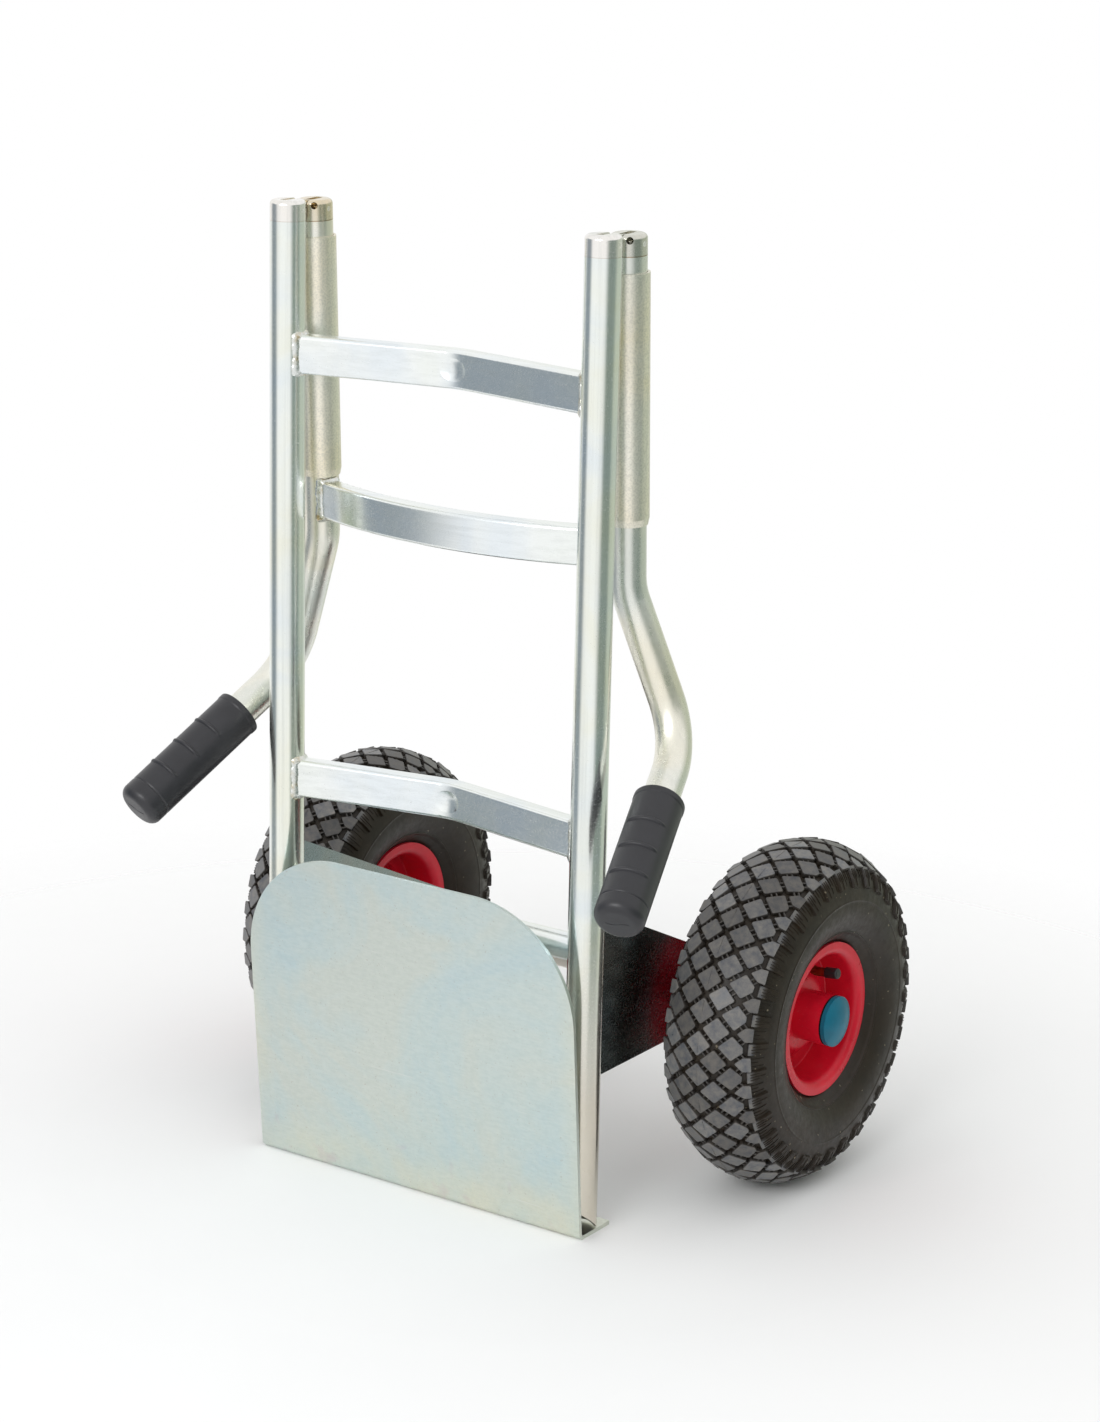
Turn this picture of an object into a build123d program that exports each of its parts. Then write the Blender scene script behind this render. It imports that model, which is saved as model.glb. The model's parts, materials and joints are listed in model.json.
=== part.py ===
from build123d import *
import os
from math import asin, cos, degrees, hypot, pi, radians, sin, sqrt

# Folding hand truck, shown folded: handle frame down behind the uprights, toe plate up in front.
# Millimetres. Floor at Z 0, uprights on the plane Y 0, the toe plate faces -Y, the wheels lie to +Y.

# Round tube of both frames
TUBE_OD = 26.0
TUBE_WALL = 2.0
UPRIGHT_SPACING = 270.0
FRAME_TOP = 719.5

# Hinge caps, pins and links that join the two frames
CAP_HEIGHT = 15.0
CAP_SPIGOT = 14.0
CAP_EDGE_R = 3.5
PIN_D = 4.0
PIN_DROP = 6.5
PIN_INSET = 0.3
HINGE_REACH = 30.5
HINGE_SAG = 2.0
LINK_THICKNESS = 5.0
LINK_WIDTH = 11.0
LINK_SIDE_GAP = 0.3
LINK_EYE_GAP = 0.7
SLOT_FLOOR = 7.2
DRILL_D = 5.0
DRILL_DEPTH = 13.0
DRILL_RISE = 2.5
DRILL_ANGLE = 37.0

# Flat tube of the crossbars
BAR_HEIGHT = 28.0
BAR_DEPTH = 14.0
BAR_WALL = 2.0
BAR_CORNER_R = 3.0
UPPER_BAR_Z = 610.0
LOWER_BAR_Z = 294.0
BAR_SETBACK = 25.0
BAR_BEND_R = 60.0
DIMPLE_R = 25.0
DIMPLE_DEPTH = 1.4
WELD_WIDTH = 1.5
WELD_REACH = 4.5

# Round cross tube between the uprights
CROSS_TUBE_D = 20.0
CROSS_TUBE_WALL = 1.5
CROSS_TUBE_Z = 214.0

# Handle frame, measured along its tubes from the rear hinge pins
HANDLE_TILT = 2.6
SLEEVE_START = 19.8
SLEEVE_LENGTH = 176.0
SLEEVE_OD = 30.0
SLEEVE_TAPER = 1.0
SLEEVE_TAPER_LENGTH = 5.0
SLEEVE_GAP = 0.3
HANDLE_BAR_AT = 213.0
HANDLE_BAR_BOW = 27.0
FIRST_BEND_AT = 242.5
FIRST_BEND_R = 50.0
SECOND_BEND = (174.0, 55.0, 363.0)
SECOND_BEND_R = 55.0
GRIP_END = (213.0, -80.0, 271.0)
GRIP_LENGTH = 110.0
GRIP_OD = 36.0
GRIP_COLLAR = 0.4
GRIP_COLLAR_WIDTH = 5.0
GRIP_END_WALL = 7.0
GRIP_END_R = 7.0
GRIP_RIDGES = 3
GRIP_RIDGE_START = 30.0
GRIP_RIDGE_PITCH = 23.0
GRIP_RIDGE_WIDTH = 3.6
GRIP_RIDGE_HEIGHT = 1.2
GRIP_RIDGE_SPAN = 42.0

# Toe plate: a bent sheet that swings on a rod between the feet of the uprights
SHEET = 3.0
PLATE_WIDTH = 292.0
PLATE_TOP = 248.0
PLATE_LEAN = 5.0
PLATE_CORNER_R = 85.0
PLATE_BEND_R = 2.0
FLANGE_REAR_Y = 23.5
TOE_ROD_D = 10.0
TOE_PIVOT_Y = 5.0
TOE_TO_FOOT = 18.2
TOE_TO_PLATE = 18.6
TOE_TO_FLANGE = 20.2
FOOT_CLEARANCE = 0.4
EAR_X = 100.0
EAR_THICKNESS = 5.0
EAR_R = 9.0
EAR_CORNER_CUT = 5.0

# Axle brackets and axle
AXLE_D = 20.0
AXLE_Y = 184.0
AXLE_Z = 130.0
BRACKET_THICKNESS = 5.0
BRACKET_BOTTOM = 115.0
BRACKET_TOP = 241.0
BRACKET_REAR_Y = 206.0
BRACKET_REAR_TOP = 150.0
BRACKET_CORNER_R = 10.0
SPACER_OD = 28.0

# Wheel, measured from its middle plane: 260 x 85 tyre on a 4 inch rim
WHEEL_X = 196.5
TYRE_R = 130.0
TYRE_HALF_WIDTH = 42.5
TYRE_WALL = 6.5
BEAD_CUT = 2.5
RIM_SEAT_R = 50.0
RIM_HALF_WIDTH = 31.0
RIM_FLANGE_R = 58.0
RIM_SHEET = 2.5
RIM_PRESS_R = 3.5
RIM_BOSS_OUT = 10.0
RIM_BOSS_R = 26.0
RIM_WEB_R = 36.0
HUB_OD = 38.0
HUB_WALL = 3.0
HUB_HALF = 36.0
BUSH_DEPTH = 25.0
BUSH_LIP = 1.0
HUB_CAP_DOME = 5.0
HUB_CAP_SKIRT = 3.5
TREAD_COUNT = 34
TREAD_HEIGHT = 4.0
TREAD_ROOT = 3.0
TREAD_ROW_PITCH = 12.0
TREAD_GROOVE = 3.0
CROWN_R = 51.0
SHOULDER_DROP = 1.5
SHOULDER_RISE = 2.5
SHOULDER_FOOT_R = 102.0
SHOULDER_STEP = 1.6
INNER_TUBE_R = 84.8
INNER_TUBE_HALF_WIDTH = 33.0
INNER_TUBE_HALF_HEIGHT = 31.0
INNER_TUBE_WALL = 2.0
VALVE_R = 34.5
VALVE_TILT = 6.0
VALVE_OUT = 14.0
VALVE_FOOT_R = 57.2
VALVE_D = 6.8
VALVE_BEND_R = 8.0
VALVE_TIP = 40.5
VALVE_CAP_D = 8.2
VALVE_CAP_LENGTH = 10.5
VALVE_CAP_END = 3.0
VALVE_CAP_EDGE_R = 1.6

# Gaps between pieces that turn or slide on one another
RUN_GAP = 0.05
SIDE_GAP = 0.3

TUBE_R = TUBE_OD / 2
TUBE_BORE_R = TUBE_R - TUBE_WALL
HALF_SPACING = UPRIGHT_SPACING / 2
SIDES = {"left": -HALF_SPACING, "right": HALF_SPACING}
TOE_PIVOT_Z = SHEET + TOE_TO_FLANGE
FOOT_Z = TOE_PIVOT_Z - TOE_TO_FOOT
FRONT_PIN_Z = FRAME_TOP - PIN_DROP
REAR_PIN = Vector(0, HINGE_REACH, FRONT_PIN_Z - HINGE_SAG)
HANDLE_DOWN = Vector(0, sin(radians(HANDLE_TILT)), -cos(radians(HANDLE_TILT)))
LINK_DIRECTION = Vector(0, HINGE_REACH, -HINGE_SAG)
WHEEL_CENTRE = Vector(WHEEL_X, AXLE_Y, AXLE_Z)
WHEEL_AXIS = Axis(WHEEL_CENTRE, (1, 0, 0))
WHEEL_SECTION = Plane(WHEEL_CENTRE, x_dir=(1, 0, 0), z_dir=(0, -1, 0))

made = {}


def handle_point(x, along):
    """A point on a handle tube's straight part, by its distance from the rear hinge pin."""
    return Vector(x, 0, 0) + REAR_PIN + HANDLE_DOWN * along


def mirrored(source):
    """The left-hand twin of a right-hand piece."""
    with BuildPart() as twin:
        mirror(source.part, about=Plane.YZ)
    return twin


def tube_outlines(plane, radius=TUBE_R):
    """Sketch of both tubes of a frame, on a plane square to them, for coping what seats on them."""
    with BuildSketch(plane) as outlines:
        with Locations(*[Location((x, 0, 0), (0, 0, -90)) for x in SIDES.values()]):
            Circle(radius)
    return outlines.sketch


def bar_section(plane):
    """Sketch of the crossbars' section: a flat rectangular tube."""
    with BuildSketch(plane) as section:
        RectangleRounded(BAR_HEIGHT, BAR_DEPTH, BAR_CORNER_R)
        RectangleRounded(
            BAR_HEIGHT - 2 * BAR_WALL,
            BAR_DEPTH - 2 * BAR_WALL,
            BAR_CORNER_R - BAR_WALL,
            mode=Mode.SUBTRACT,
        )
    return section.sketch


def weld_section(plane):
    """Sketch of the weld beads' section around a crossbar."""
    with BuildSketch(plane) as section:
        RectangleRounded(BAR_HEIGHT + 2 * WELD_WIDTH, BAR_DEPTH + 2 * WELD_WIDTH, BAR_CORNER_R + WELD_WIDTH)
        RectangleRounded(BAR_HEIGHT, BAR_DEPTH, BAR_CORNER_R, mode=Mode.SUBTRACT)
    return section.sketch


# Uprights

def upright_tube(x):
    """Upright with a slant cut at the foot, so that the toe plate's bend can swing past it."""
    front_reach = TOE_PIVOT_Y + TUBE_R
    slant_top = TOE_PIVOT_Z - sqrt((TOE_TO_PLATE - FOOT_CLEARANCE) ** 2 - front_reach**2)
    with BuildPart() as tube:
        with BuildSketch(Plane.XY.offset(FOOT_Z)):
            with Locations((x, 0)):
                Circle(TUBE_R)
                Circle(TUBE_BORE_R, mode=Mode.SUBTRACT)
        extrude(amount=FRAME_TOP - CAP_HEIGHT - FOOT_Z)
        with BuildSketch(Plane.YZ.offset(x)):
            Polygon(
                (TOE_PIVOT_Y, FOOT_Z),
                (-TUBE_R, slant_top),
                (-TUBE_R - SHEET, slant_top),
                (-TUBE_R - SHEET, FOOT_Z - SHEET),
                (TOE_PIVOT_Y, FOOT_Z - SHEET),
                align=None,
            )
        extrude(amount=TUBE_OD, both=True, mode=Mode.SUBTRACT)
        with BuildSketch(Plane.YZ):
            with Locations((TOE_PIVOT_Y, TOE_PIVOT_Z)):
                Circle(TOE_ROD_D / 2)
        extrude(amount=x, mode=Mode.SUBTRACT)
    return tube


def hinge_cap(pin_plane):
    """Plug with a round-edged head, slotted for the link from its local +Y side round to its end."""
    joint_plane = pin_plane.offset(PIN_DROP - CAP_HEIGHT)
    side_plane = Plane(pin_plane.origin, x_dir=pin_plane.y_dir, z_dir=pin_plane.x_dir)
    slot_back = LINK_WIDTH / 2 + LINK_EYE_GAP
    with BuildPart() as cap:
        with BuildSketch(joint_plane):
            Circle(TUBE_R)
        extrude(amount=CAP_HEIGHT)
        end_edges = cap.edges().sort_by(Axis(pin_plane.origin, pin_plane.z_dir))[-1]
        fillet(end_edges, CAP_EDGE_R)
        with BuildSketch(joint_plane):
            Circle(TUBE_BORE_R)
        extrude(amount=-CAP_SPIGOT)
        with BuildSketch(side_plane):
            with Locations((-slot_back, -SLOT_FLOOR)):
                Rectangle(
                    slot_back + TUBE_OD, SLOT_FLOOR + TUBE_OD, align=(Align.MIN, Align.MIN)
                )
        extrude(amount=LINK_THICKNESS / 2 + LINK_SIDE_GAP, both=True, mode=Mode.SUBTRACT)
        with BuildSketch(side_plane):
            Circle(PIN_D / 2)
        extrude(amount=TUBE_OD, both=True, mode=Mode.SUBTRACT)
    return cap


def upright_cap(x):
    return hinge_cap(Plane((x, 0, FRONT_PIN_Z), x_dir=(1, 0, 0), z_dir=(0, 0, 1)))


def handle_cap(x):
    """Cap of the handle frame, with a hole drilled through its rounded edge into the slot."""
    pin_plane = Plane(handle_point(x, 0), x_dir=(-1, 0, 0), z_dir=-HANDLE_DOWN)
    plain = hinge_cap(pin_plane)
    face_dir = Vector(sin(radians(DRILL_ANGLE)), -cos(radians(DRILL_ANGLE)), 0)
    with BuildPart() as cap:
        add(plain.part)
        with BuildSketch(Plane(handle_point(x, -DRILL_RISE) + face_dir * TUBE_OD, z_dir=-face_dir)):
            Circle(DRILL_D / 2)
        extrude(amount=TUBE_R + DRILL_DEPTH, mode=Mode.SUBTRACT)
    return cap


def fold_link(x):
    """Flat link from a front hinge pin to the rear hinge pin behind it."""
    link_plane = Plane((x, 0, FRONT_PIN_Z), x_dir=LINK_DIRECTION, z_dir=(1, 0, 0))
    length = hypot(HINGE_REACH, HINGE_SAG)
    with BuildPart() as link:
        with BuildSketch(link_plane):
            with Locations((length / 2, 0)):
                SlotCenterToCenter(length, LINK_WIDTH)
            with Locations((0, 0), (length, 0)):
                Circle(PIN_D / 2 + RUN_GAP, mode=Mode.SUBTRACT)
        extrude(amount=LINK_THICKNESS / 2, both=True)
    return link


def locking_sleeve(x):
    """Sleeve that slides along a handle tube, pressed in a little at its lower end."""
    start = handle_point(x, SLEEVE_START)
    with BuildPart() as sleeve:
        with BuildSketch(Plane(start, x_dir=HANDLE_DOWN, z_dir=(1, 0, 0))):
            Polygon(
                (0, TUBE_R + SLEEVE_GAP),
                (0, SLEEVE_OD / 2),
                (SLEEVE_LENGTH - SLEEVE_TAPER_LENGTH, SLEEVE_OD / 2),
                (SLEEVE_LENGTH, SLEEVE_OD / 2 - SLEEVE_TAPER),
                (SLEEVE_LENGTH, TUBE_R + SLEEVE_GAP),
                align=None,
            )
        revolve(axis=Axis(start, HANDLE_DOWN))
    return sleeve


def wheel_bracket(x):
    """Plate from the back of an upright to the axle."""
    with BuildPart() as bracket:
        with BuildSketch(Plane.YZ.offset(x)) as outline:
            Polygon(
                (0, BRACKET_BOTTOM),
                (BRACKET_REAR_Y, BRACKET_BOTTOM),
                (BRACKET_REAR_Y, BRACKET_REAR_TOP),
                (TUBE_R, BRACKET_TOP),
                (0, BRACKET_TOP),
                align=None,
            )
            fillet(outline.vertices().group_by(Axis.X)[-1], BRACKET_CORNER_R)
            with Locations((AXLE_Y, AXLE_Z)):
                Circle(AXLE_D / 2, mode=Mode.SUBTRACT)
        extrude(amount=BRACKET_THICKNESS / 2, both=True)
        extrude(tube_outlines(Plane.XY), amount=FRAME_TOP, mode=Mode.SUBTRACT)
    return bracket


for side, side_x in SIDES.items():
    made[f"upright_tube_{side}"] = upright_tube(side_x)
    made[f"upright_cap_{side}"] = upright_cap(side_x)
    made[f"handle_cap_{side}"] = handle_cap(side_x)
    made[f"fold_link_{side}"] = fold_link(side_x)
    made[f"lock_sleeve_{side}"] = locking_sleeve(side_x)
    made[f"wheel_bracket_{side}"] = wheel_bracket(side_x)


# Crossbars of the lower frame

def crossbar_path(z):
    """Centre line of a crossbar, bent back in the middle."""
    with BuildLine() as path:
        FilletPolyline((-HALF_SPACING, 0, z), (0, BAR_SETBACK, z), (HALF_SPACING, 0, z), radius=BAR_BEND_R)
    return path.line


def start_plane(path):
    """Plane across the start of a crossbar's path, with its X along the bar's height."""
    return Plane(path @ 0, x_dir=(0, 0, 1), z_dir=path % 0)


def crossbar(z):
    path = crossbar_path(z)
    bend_drop = BAR_BEND_R * (sqrt(1 + (BAR_SETBACK / HALF_SPACING) ** 2) - 1)
    front_y = BAR_SETBACK - bend_drop - BAR_DEPTH / 2
    with BuildPart() as bar:
        sweep(bar_section(start_plane(path)), path=path)
        with Locations((0, front_y + DIMPLE_DEPTH - DIMPLE_R, z)):
            Sphere(DIMPLE_R, mode=Mode.SUBTRACT)
        extrude(tube_outlines(Plane.XY), amount=FRAME_TOP, mode=Mode.SUBTRACT)
    return bar


made["upper_crossbar"] = crossbar(UPPER_BAR_Z)
made["lower_crossbar"] = crossbar(LOWER_BAR_Z)

with BuildPart() as frame_welds:
    for bar_z in (UPPER_BAR_Z, LOWER_BAR_Z):
        bar_path = crossbar_path(bar_z)
        sweep(weld_section(start_plane(bar_path)), path=bar_path)
    extrude(tube_outlines(Plane.XY, TUBE_R + WELD_REACH), amount=FRAME_TOP, mode=Mode.INTERSECT)
    extrude(tube_outlines(Plane.XY), amount=FRAME_TOP, mode=Mode.SUBTRACT)
made["frame_welds"] = frame_welds

with BuildPart() as cross_tube:
    with BuildSketch(Plane.YZ):
        with Locations((0, CROSS_TUBE_Z)):
            Circle(CROSS_TUBE_D / 2)
            Circle(CROSS_TUBE_D / 2 - CROSS_TUBE_WALL, mode=Mode.SUBTRACT)
    extrude(amount=HALF_SPACING, both=True)
    extrude(tube_outlines(Plane.XY), amount=FRAME_TOP, mode=Mode.SUBTRACT)
made["cross_tube"] = cross_tube


# Hinge pins

def hinge_pins(centre):
    """The pins of one hinge line, one in each cap."""
    with BuildPart() as pins:
        with BuildSketch(*[Plane.YZ.offset(x) for x in SIDES.values()]):
            with Locations((centre.Y, centre.Z)):
                Circle(PIN_D / 2)
        extrude(amount=TUBE_R - PIN_INSET, both=True)
    return pins


made["front_hinge_pins"] = hinge_pins(Vector(0, 0, FRONT_PIN_Z))
made["rear_hinge_pins"] = hinge_pins(REAR_PIN)


# Handle frame

# The handle crossbar bows forward on an arc that passes through the axes of both handle tubes
bow_r = (HALF_SPACING**2 + HANDLE_BAR_BOW**2) / (2 * HANDLE_BAR_BOW)
bow_angle = 2 * degrees(asin(HALF_SPACING / bow_r))
handle_bar_middle = handle_point(0, HANDLE_BAR_AT)
handle_forward = HANDLE_DOWN.cross(Vector(1, 0, 0))
handle_bow = Axis(handle_bar_middle + handle_forward * (HANDLE_BAR_BOW - bow_r), -HANDLE_DOWN)
handle_cope = Plane(handle_bar_middle, x_dir=(1, 0, 0), z_dir=HANDLE_DOWN)
bow_start = Plane(
    handle_point(-HALF_SPACING, HANDLE_BAR_AT),
    x_dir=HANDLE_DOWN,
    z_dir=HANDLE_DOWN.cross(handle_point(-HALF_SPACING, HANDLE_BAR_AT) - handle_bow.position),
)

with BuildPart() as handle_crossbar:
    revolve(bar_section(bow_start), axis=handle_bow, revolution_arc=bow_angle)
    extrude(tube_outlines(handle_cope), amount=BAR_HEIGHT, both=True, mode=Mode.SUBTRACT)
made["handle_crossbar"] = handle_crossbar

with BuildPart() as handle_welds:
    revolve(weld_section(bow_start), axis=handle_bow, revolution_arc=bow_angle)
    around_tubes = tube_outlines(handle_cope, TUBE_R + WELD_REACH)
    extrude(around_tubes, amount=BAR_HEIGHT, both=True, mode=Mode.INTERSECT)
    extrude(tube_outlines(handle_cope), amount=BAR_HEIGHT, both=True, mode=Mode.SUBTRACT)
made["handle_welds"] = handle_welds

grip_end = Vector(*GRIP_END)
grip_axis = (grip_end - Vector(*SECOND_BEND)).normalized()
grip_mouth = grip_end - grip_axis * GRIP_LENGTH
tube_end = grip_end - grip_axis * GRIP_END_WALL

with BuildPart() as handle_tube_right:
    with BuildLine() as handle_path:
        FilletPolyline(
            handle_point(HALF_SPACING, CAP_HEIGHT - PIN_DROP),
            handle_point(HALF_SPACING, FIRST_BEND_AT),
            SECOND_BEND,
            tube_end,
            radius=[FIRST_BEND_R, SECOND_BEND_R],
        )
    with BuildSketch(Plane(handle_path.line @ 0, x_dir=(1, 0, 0), z_dir=handle_path.line % 0)):
        Circle(TUBE_R)
        Circle(TUBE_BORE_R, mode=Mode.SUBTRACT)
    sweep(path=handle_path.line)
made["handle_tube_right"] = handle_tube_right
made["handle_tube_left"] = mirrored(handle_tube_right)

# Grip: a moulded sleeve with a collar, a closed end and raised crescents across its upper side
grip_up = (Vector(0, 0, 1) - grip_axis * grip_axis.Z).normalized()
ridge_start = grip_up.rotate(Axis((0, 0, 0), grip_axis), -GRIP_RIDGE_SPAN)
ridge_section = Plane(grip_mouth, x_dir=grip_axis, z_dir=grip_axis.cross(ridge_start))
grip_section = Plane(grip_mouth, x_dir=grip_axis, z_dir=grip_axis.cross(Vector(0, 0, 1)))
with BuildPart() as grip_right:
    with BuildSketch(grip_section) as grip_profile:
        Rectangle(GRIP_LENGTH, GRIP_OD / 2, align=(Align.MIN, Align.MIN))
        fillet(grip_profile.vertices().group_by(Axis.X)[-1].sort_by(Axis.Y)[-1], GRIP_END_R)
        with Locations((0, 0)):
            Rectangle(GRIP_COLLAR_WIDTH, GRIP_OD / 2 + GRIP_COLLAR, align=(Align.MIN, Align.MIN))
        Rectangle(
            GRIP_LENGTH - GRIP_END_WALL, TUBE_R, align=(Align.MIN, Align.MIN), mode=Mode.SUBTRACT
        )
    revolve(axis=Axis(grip_mouth, grip_axis))
    with BuildSketch(ridge_section):
        for ridge in range(GRIP_RIDGES):
            with Locations((GRIP_RIDGE_START + ridge * GRIP_RIDGE_PITCH, GRIP_OD / 2)):
                Ellipse(GRIP_RIDGE_WIDTH / 2, GRIP_RIDGE_HEIGHT)
    revolve(axis=Axis(grip_mouth, grip_axis), revolution_arc=2 * GRIP_RIDGE_SPAN)
made["grip_right"] = grip_right
made["grip_left"] = mirrored(grip_right)


# Toe plate

lean = radians(PLATE_LEAN)


def behind_plate(distance, z):
    """The Y of a face parallel to the toe plate, at a distance in front of the hinge rod, at height z."""
    return TOE_PIVOT_Y - (distance + (z - TOE_PIVOT_Z) * sin(lean)) / cos(lean)


with BuildPart() as toe_plate:
    with BuildSketch(Plane.YZ):
        Polygon(
            (behind_plate(TOE_TO_PLATE + SHEET, 0), 0),
            (FLANGE_REAR_Y, 0),
            (FLANGE_REAR_Y, SHEET),
            (behind_plate(TOE_TO_PLATE, SHEET), SHEET),
            (behind_plate(TOE_TO_PLATE, PLATE_TOP), PLATE_TOP),
            (behind_plate(TOE_TO_PLATE + SHEET, PLATE_TOP), PLATE_TOP),
            align=None,
        )
    extrude(amount=PLATE_WIDTH / 2, both=True)
    outer_bend = toe_plate.edges().filter_by(Axis.X).group_by(Axis.Z)[0].sort_by(Axis.Y)[0]
    fillet(outer_bend, PLATE_BEND_R + SHEET)
    inner_bend = toe_plate.edges().filter_by(Axis.X).filter_by_position(Axis.Z, SHEET, SHEET)
    fillet(inner_bend.sort_by(Axis.Y)[0], PLATE_BEND_R)
    with BuildSketch(Plane.XZ) as front_outline:
        Rectangle(PLATE_WIDTH, PLATE_TOP, align=(Align.CENTER, Align.MIN))
        fillet(front_outline.vertices().group_by(Axis.Y)[-1], PLATE_CORNER_R)
    extrude(amount=PLATE_TOP, both=True, mode=Mode.INTERSECT)
made["toe_plate"] = toe_plate

# Ears welded into the bend of the toe plate, bored for the hinge rod
ear_top = TOE_PIVOT_Z + EAR_R
ear_rear = TOE_PIVOT_Y + EAR_R
with BuildPart() as toe_plate_ears:
    with BuildSketch(*[Plane.YZ.offset(x) for x in (-EAR_X, EAR_X)]):
        Polygon(
            (behind_plate(TOE_TO_PLATE, SHEET + EAR_CORNER_CUT), SHEET + EAR_CORNER_CUT),
            (behind_plate(TOE_TO_PLATE, SHEET) + EAR_CORNER_CUT, SHEET),
            (ear_rear, SHEET),
            (ear_rear, TOE_PIVOT_Z),
            (TOE_PIVOT_Y, ear_top),
            (behind_plate(TOE_TO_PLATE, ear_top), ear_top),
            align=None,
        )
        with Locations((TOE_PIVOT_Y, TOE_PIVOT_Z)):
            Circle(EAR_R)
            Circle(TOE_ROD_D / 2 + RUN_GAP, mode=Mode.SUBTRACT)
    extrude(amount=EAR_THICKNESS / 2, both=True)
made["toe_plate_ears"] = toe_plate_ears

with BuildPart() as toe_hinge_rod:
    rod_half = HALF_SPACING - TUBE_BORE_R * cos(radians(45))
    with BuildSketch(Plane.YZ):
        with Locations((TOE_PIVOT_Y, TOE_PIVOT_Z)):
            Circle(TOE_ROD_D / 2)
    extrude(amount=rod_half, both=True)
made["toe_hinge_rod"] = toe_hinge_rod


# Axle

HUB_END = HUB_HALF + BUSH_LIP
axle_half = WHEEL_X + HUB_END + HUB_CAP_SKIRT
spacer_start = HALF_SPACING + BRACKET_THICKNESS / 2

with BuildPart() as axle:
    with BuildSketch(Plane.YZ):
        with Locations((AXLE_Y, AXLE_Z)):
            Circle(AXLE_D / 2)
    extrude(amount=axle_half, both=True)
made["axle"] = axle

with BuildPart() as axle_spacer:
    with BuildSketch(Plane.YZ.offset(spacer_start)):
        with Locations((AXLE_Y, AXLE_Z)):
            Circle(SPACER_OD / 2)
            Circle(AXLE_D / 2, mode=Mode.SUBTRACT)
    extrude(amount=WHEEL_X - HUB_END - SIDE_GAP - spacer_start)
with BuildPart() as axle_spacers:
    add(axle_spacer.part)
    mirror(axle_spacer.part, about=Plane.YZ)
made["axle_spacers"] = axle_spacers

# Hub cap: a domed cap pushed on the end of the axle
with BuildPart() as hub_cap_right:
    cap_start = HUB_END + SIDE_GAP
    cap_rim = HUB_END + HUB_CAP_SKIRT
    with BuildSketch(WHEEL_SECTION):
        with BuildLine():
            Polyline(
                (cap_rim + HUB_CAP_DOME, 0),
                (cap_rim, 0),
                (cap_rim, AXLE_D / 2),
                (cap_start, AXLE_D / 2),
                (cap_start, HUB_OD / 2),
                (cap_rim, HUB_OD / 2),
            )
            RadiusArc(
                (cap_rim, HUB_OD / 2),
                (cap_rim + HUB_CAP_DOME, 0),
                (HUB_OD**2 / 4 + HUB_CAP_DOME**2) / (2 * HUB_CAP_DOME),
            )
        make_face()
    revolve(axis=WHEEL_AXIS)
made["hub_cap_right"] = hub_cap_right
made["hub_cap_left"] = mirrored(hub_cap_right)


# Wheels

crown_top = TYRE_R - TREAD_HEIGHT
crown_centre_r = crown_top - CROWN_R
row_angle = TREAD_ROW_PITCH / CROWN_R


def crown_point(angle, radius):
    """A point of the wheel's section on the crown's circle: across the wheel, then out from the axle."""
    return (radius * sin(angle), crown_centre_r + radius * cos(angle))


def tread_plane(angle, turn, radius):
    """Plane that touches the tread at an angle across the crown and a turn around the axle."""
    across, out = crown_point(angle, radius)
    radial = Vector(0, sin(turn), cos(turn))
    along = Vector(0, cos(turn), -sin(turn))
    normal = Vector(sin(angle), 0, 0) + radial * cos(angle)
    return Plane(WHEEL_CENTRE + Vector(across, 0, 0) + radial * out, x_dir=along, z_dir=normal)


half_pitch = pi * crown_top / TREAD_COUNT
edge_distance = half_pitch * TREAD_ROW_PITCH / hypot(half_pitch, TREAD_ROW_PITCH)
shrink = 1 - TREAD_GROOVE / (2 * edge_distance)
block_half_length = half_pitch * shrink
block_half_width = TREAD_ROW_PITCH * shrink
tip_rise = TYRE_R - sqrt(TYRE_R**2 - block_half_length**2)
tread_face = CROWN_R + TREAD_HEIGHT - tip_rise

row_planes = [
    tread_plane(row * row_angle, (place + (row % 2) / 2) * 2 * pi / TREAD_COUNT, tread_face)
    for row in range(-2, 3)
    for place in range(TREAD_COUNT)
]
shoulder_turns = [(place + 0.5) * 2 * pi / TREAD_COUNT for place in range(TREAD_COUNT)]
cut_half_length = block_half_length * (1 - SHOULDER_DROP / block_half_width)
edge_angle = 3 * row_angle + SHOULDER_DROP / CROWN_R

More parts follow.
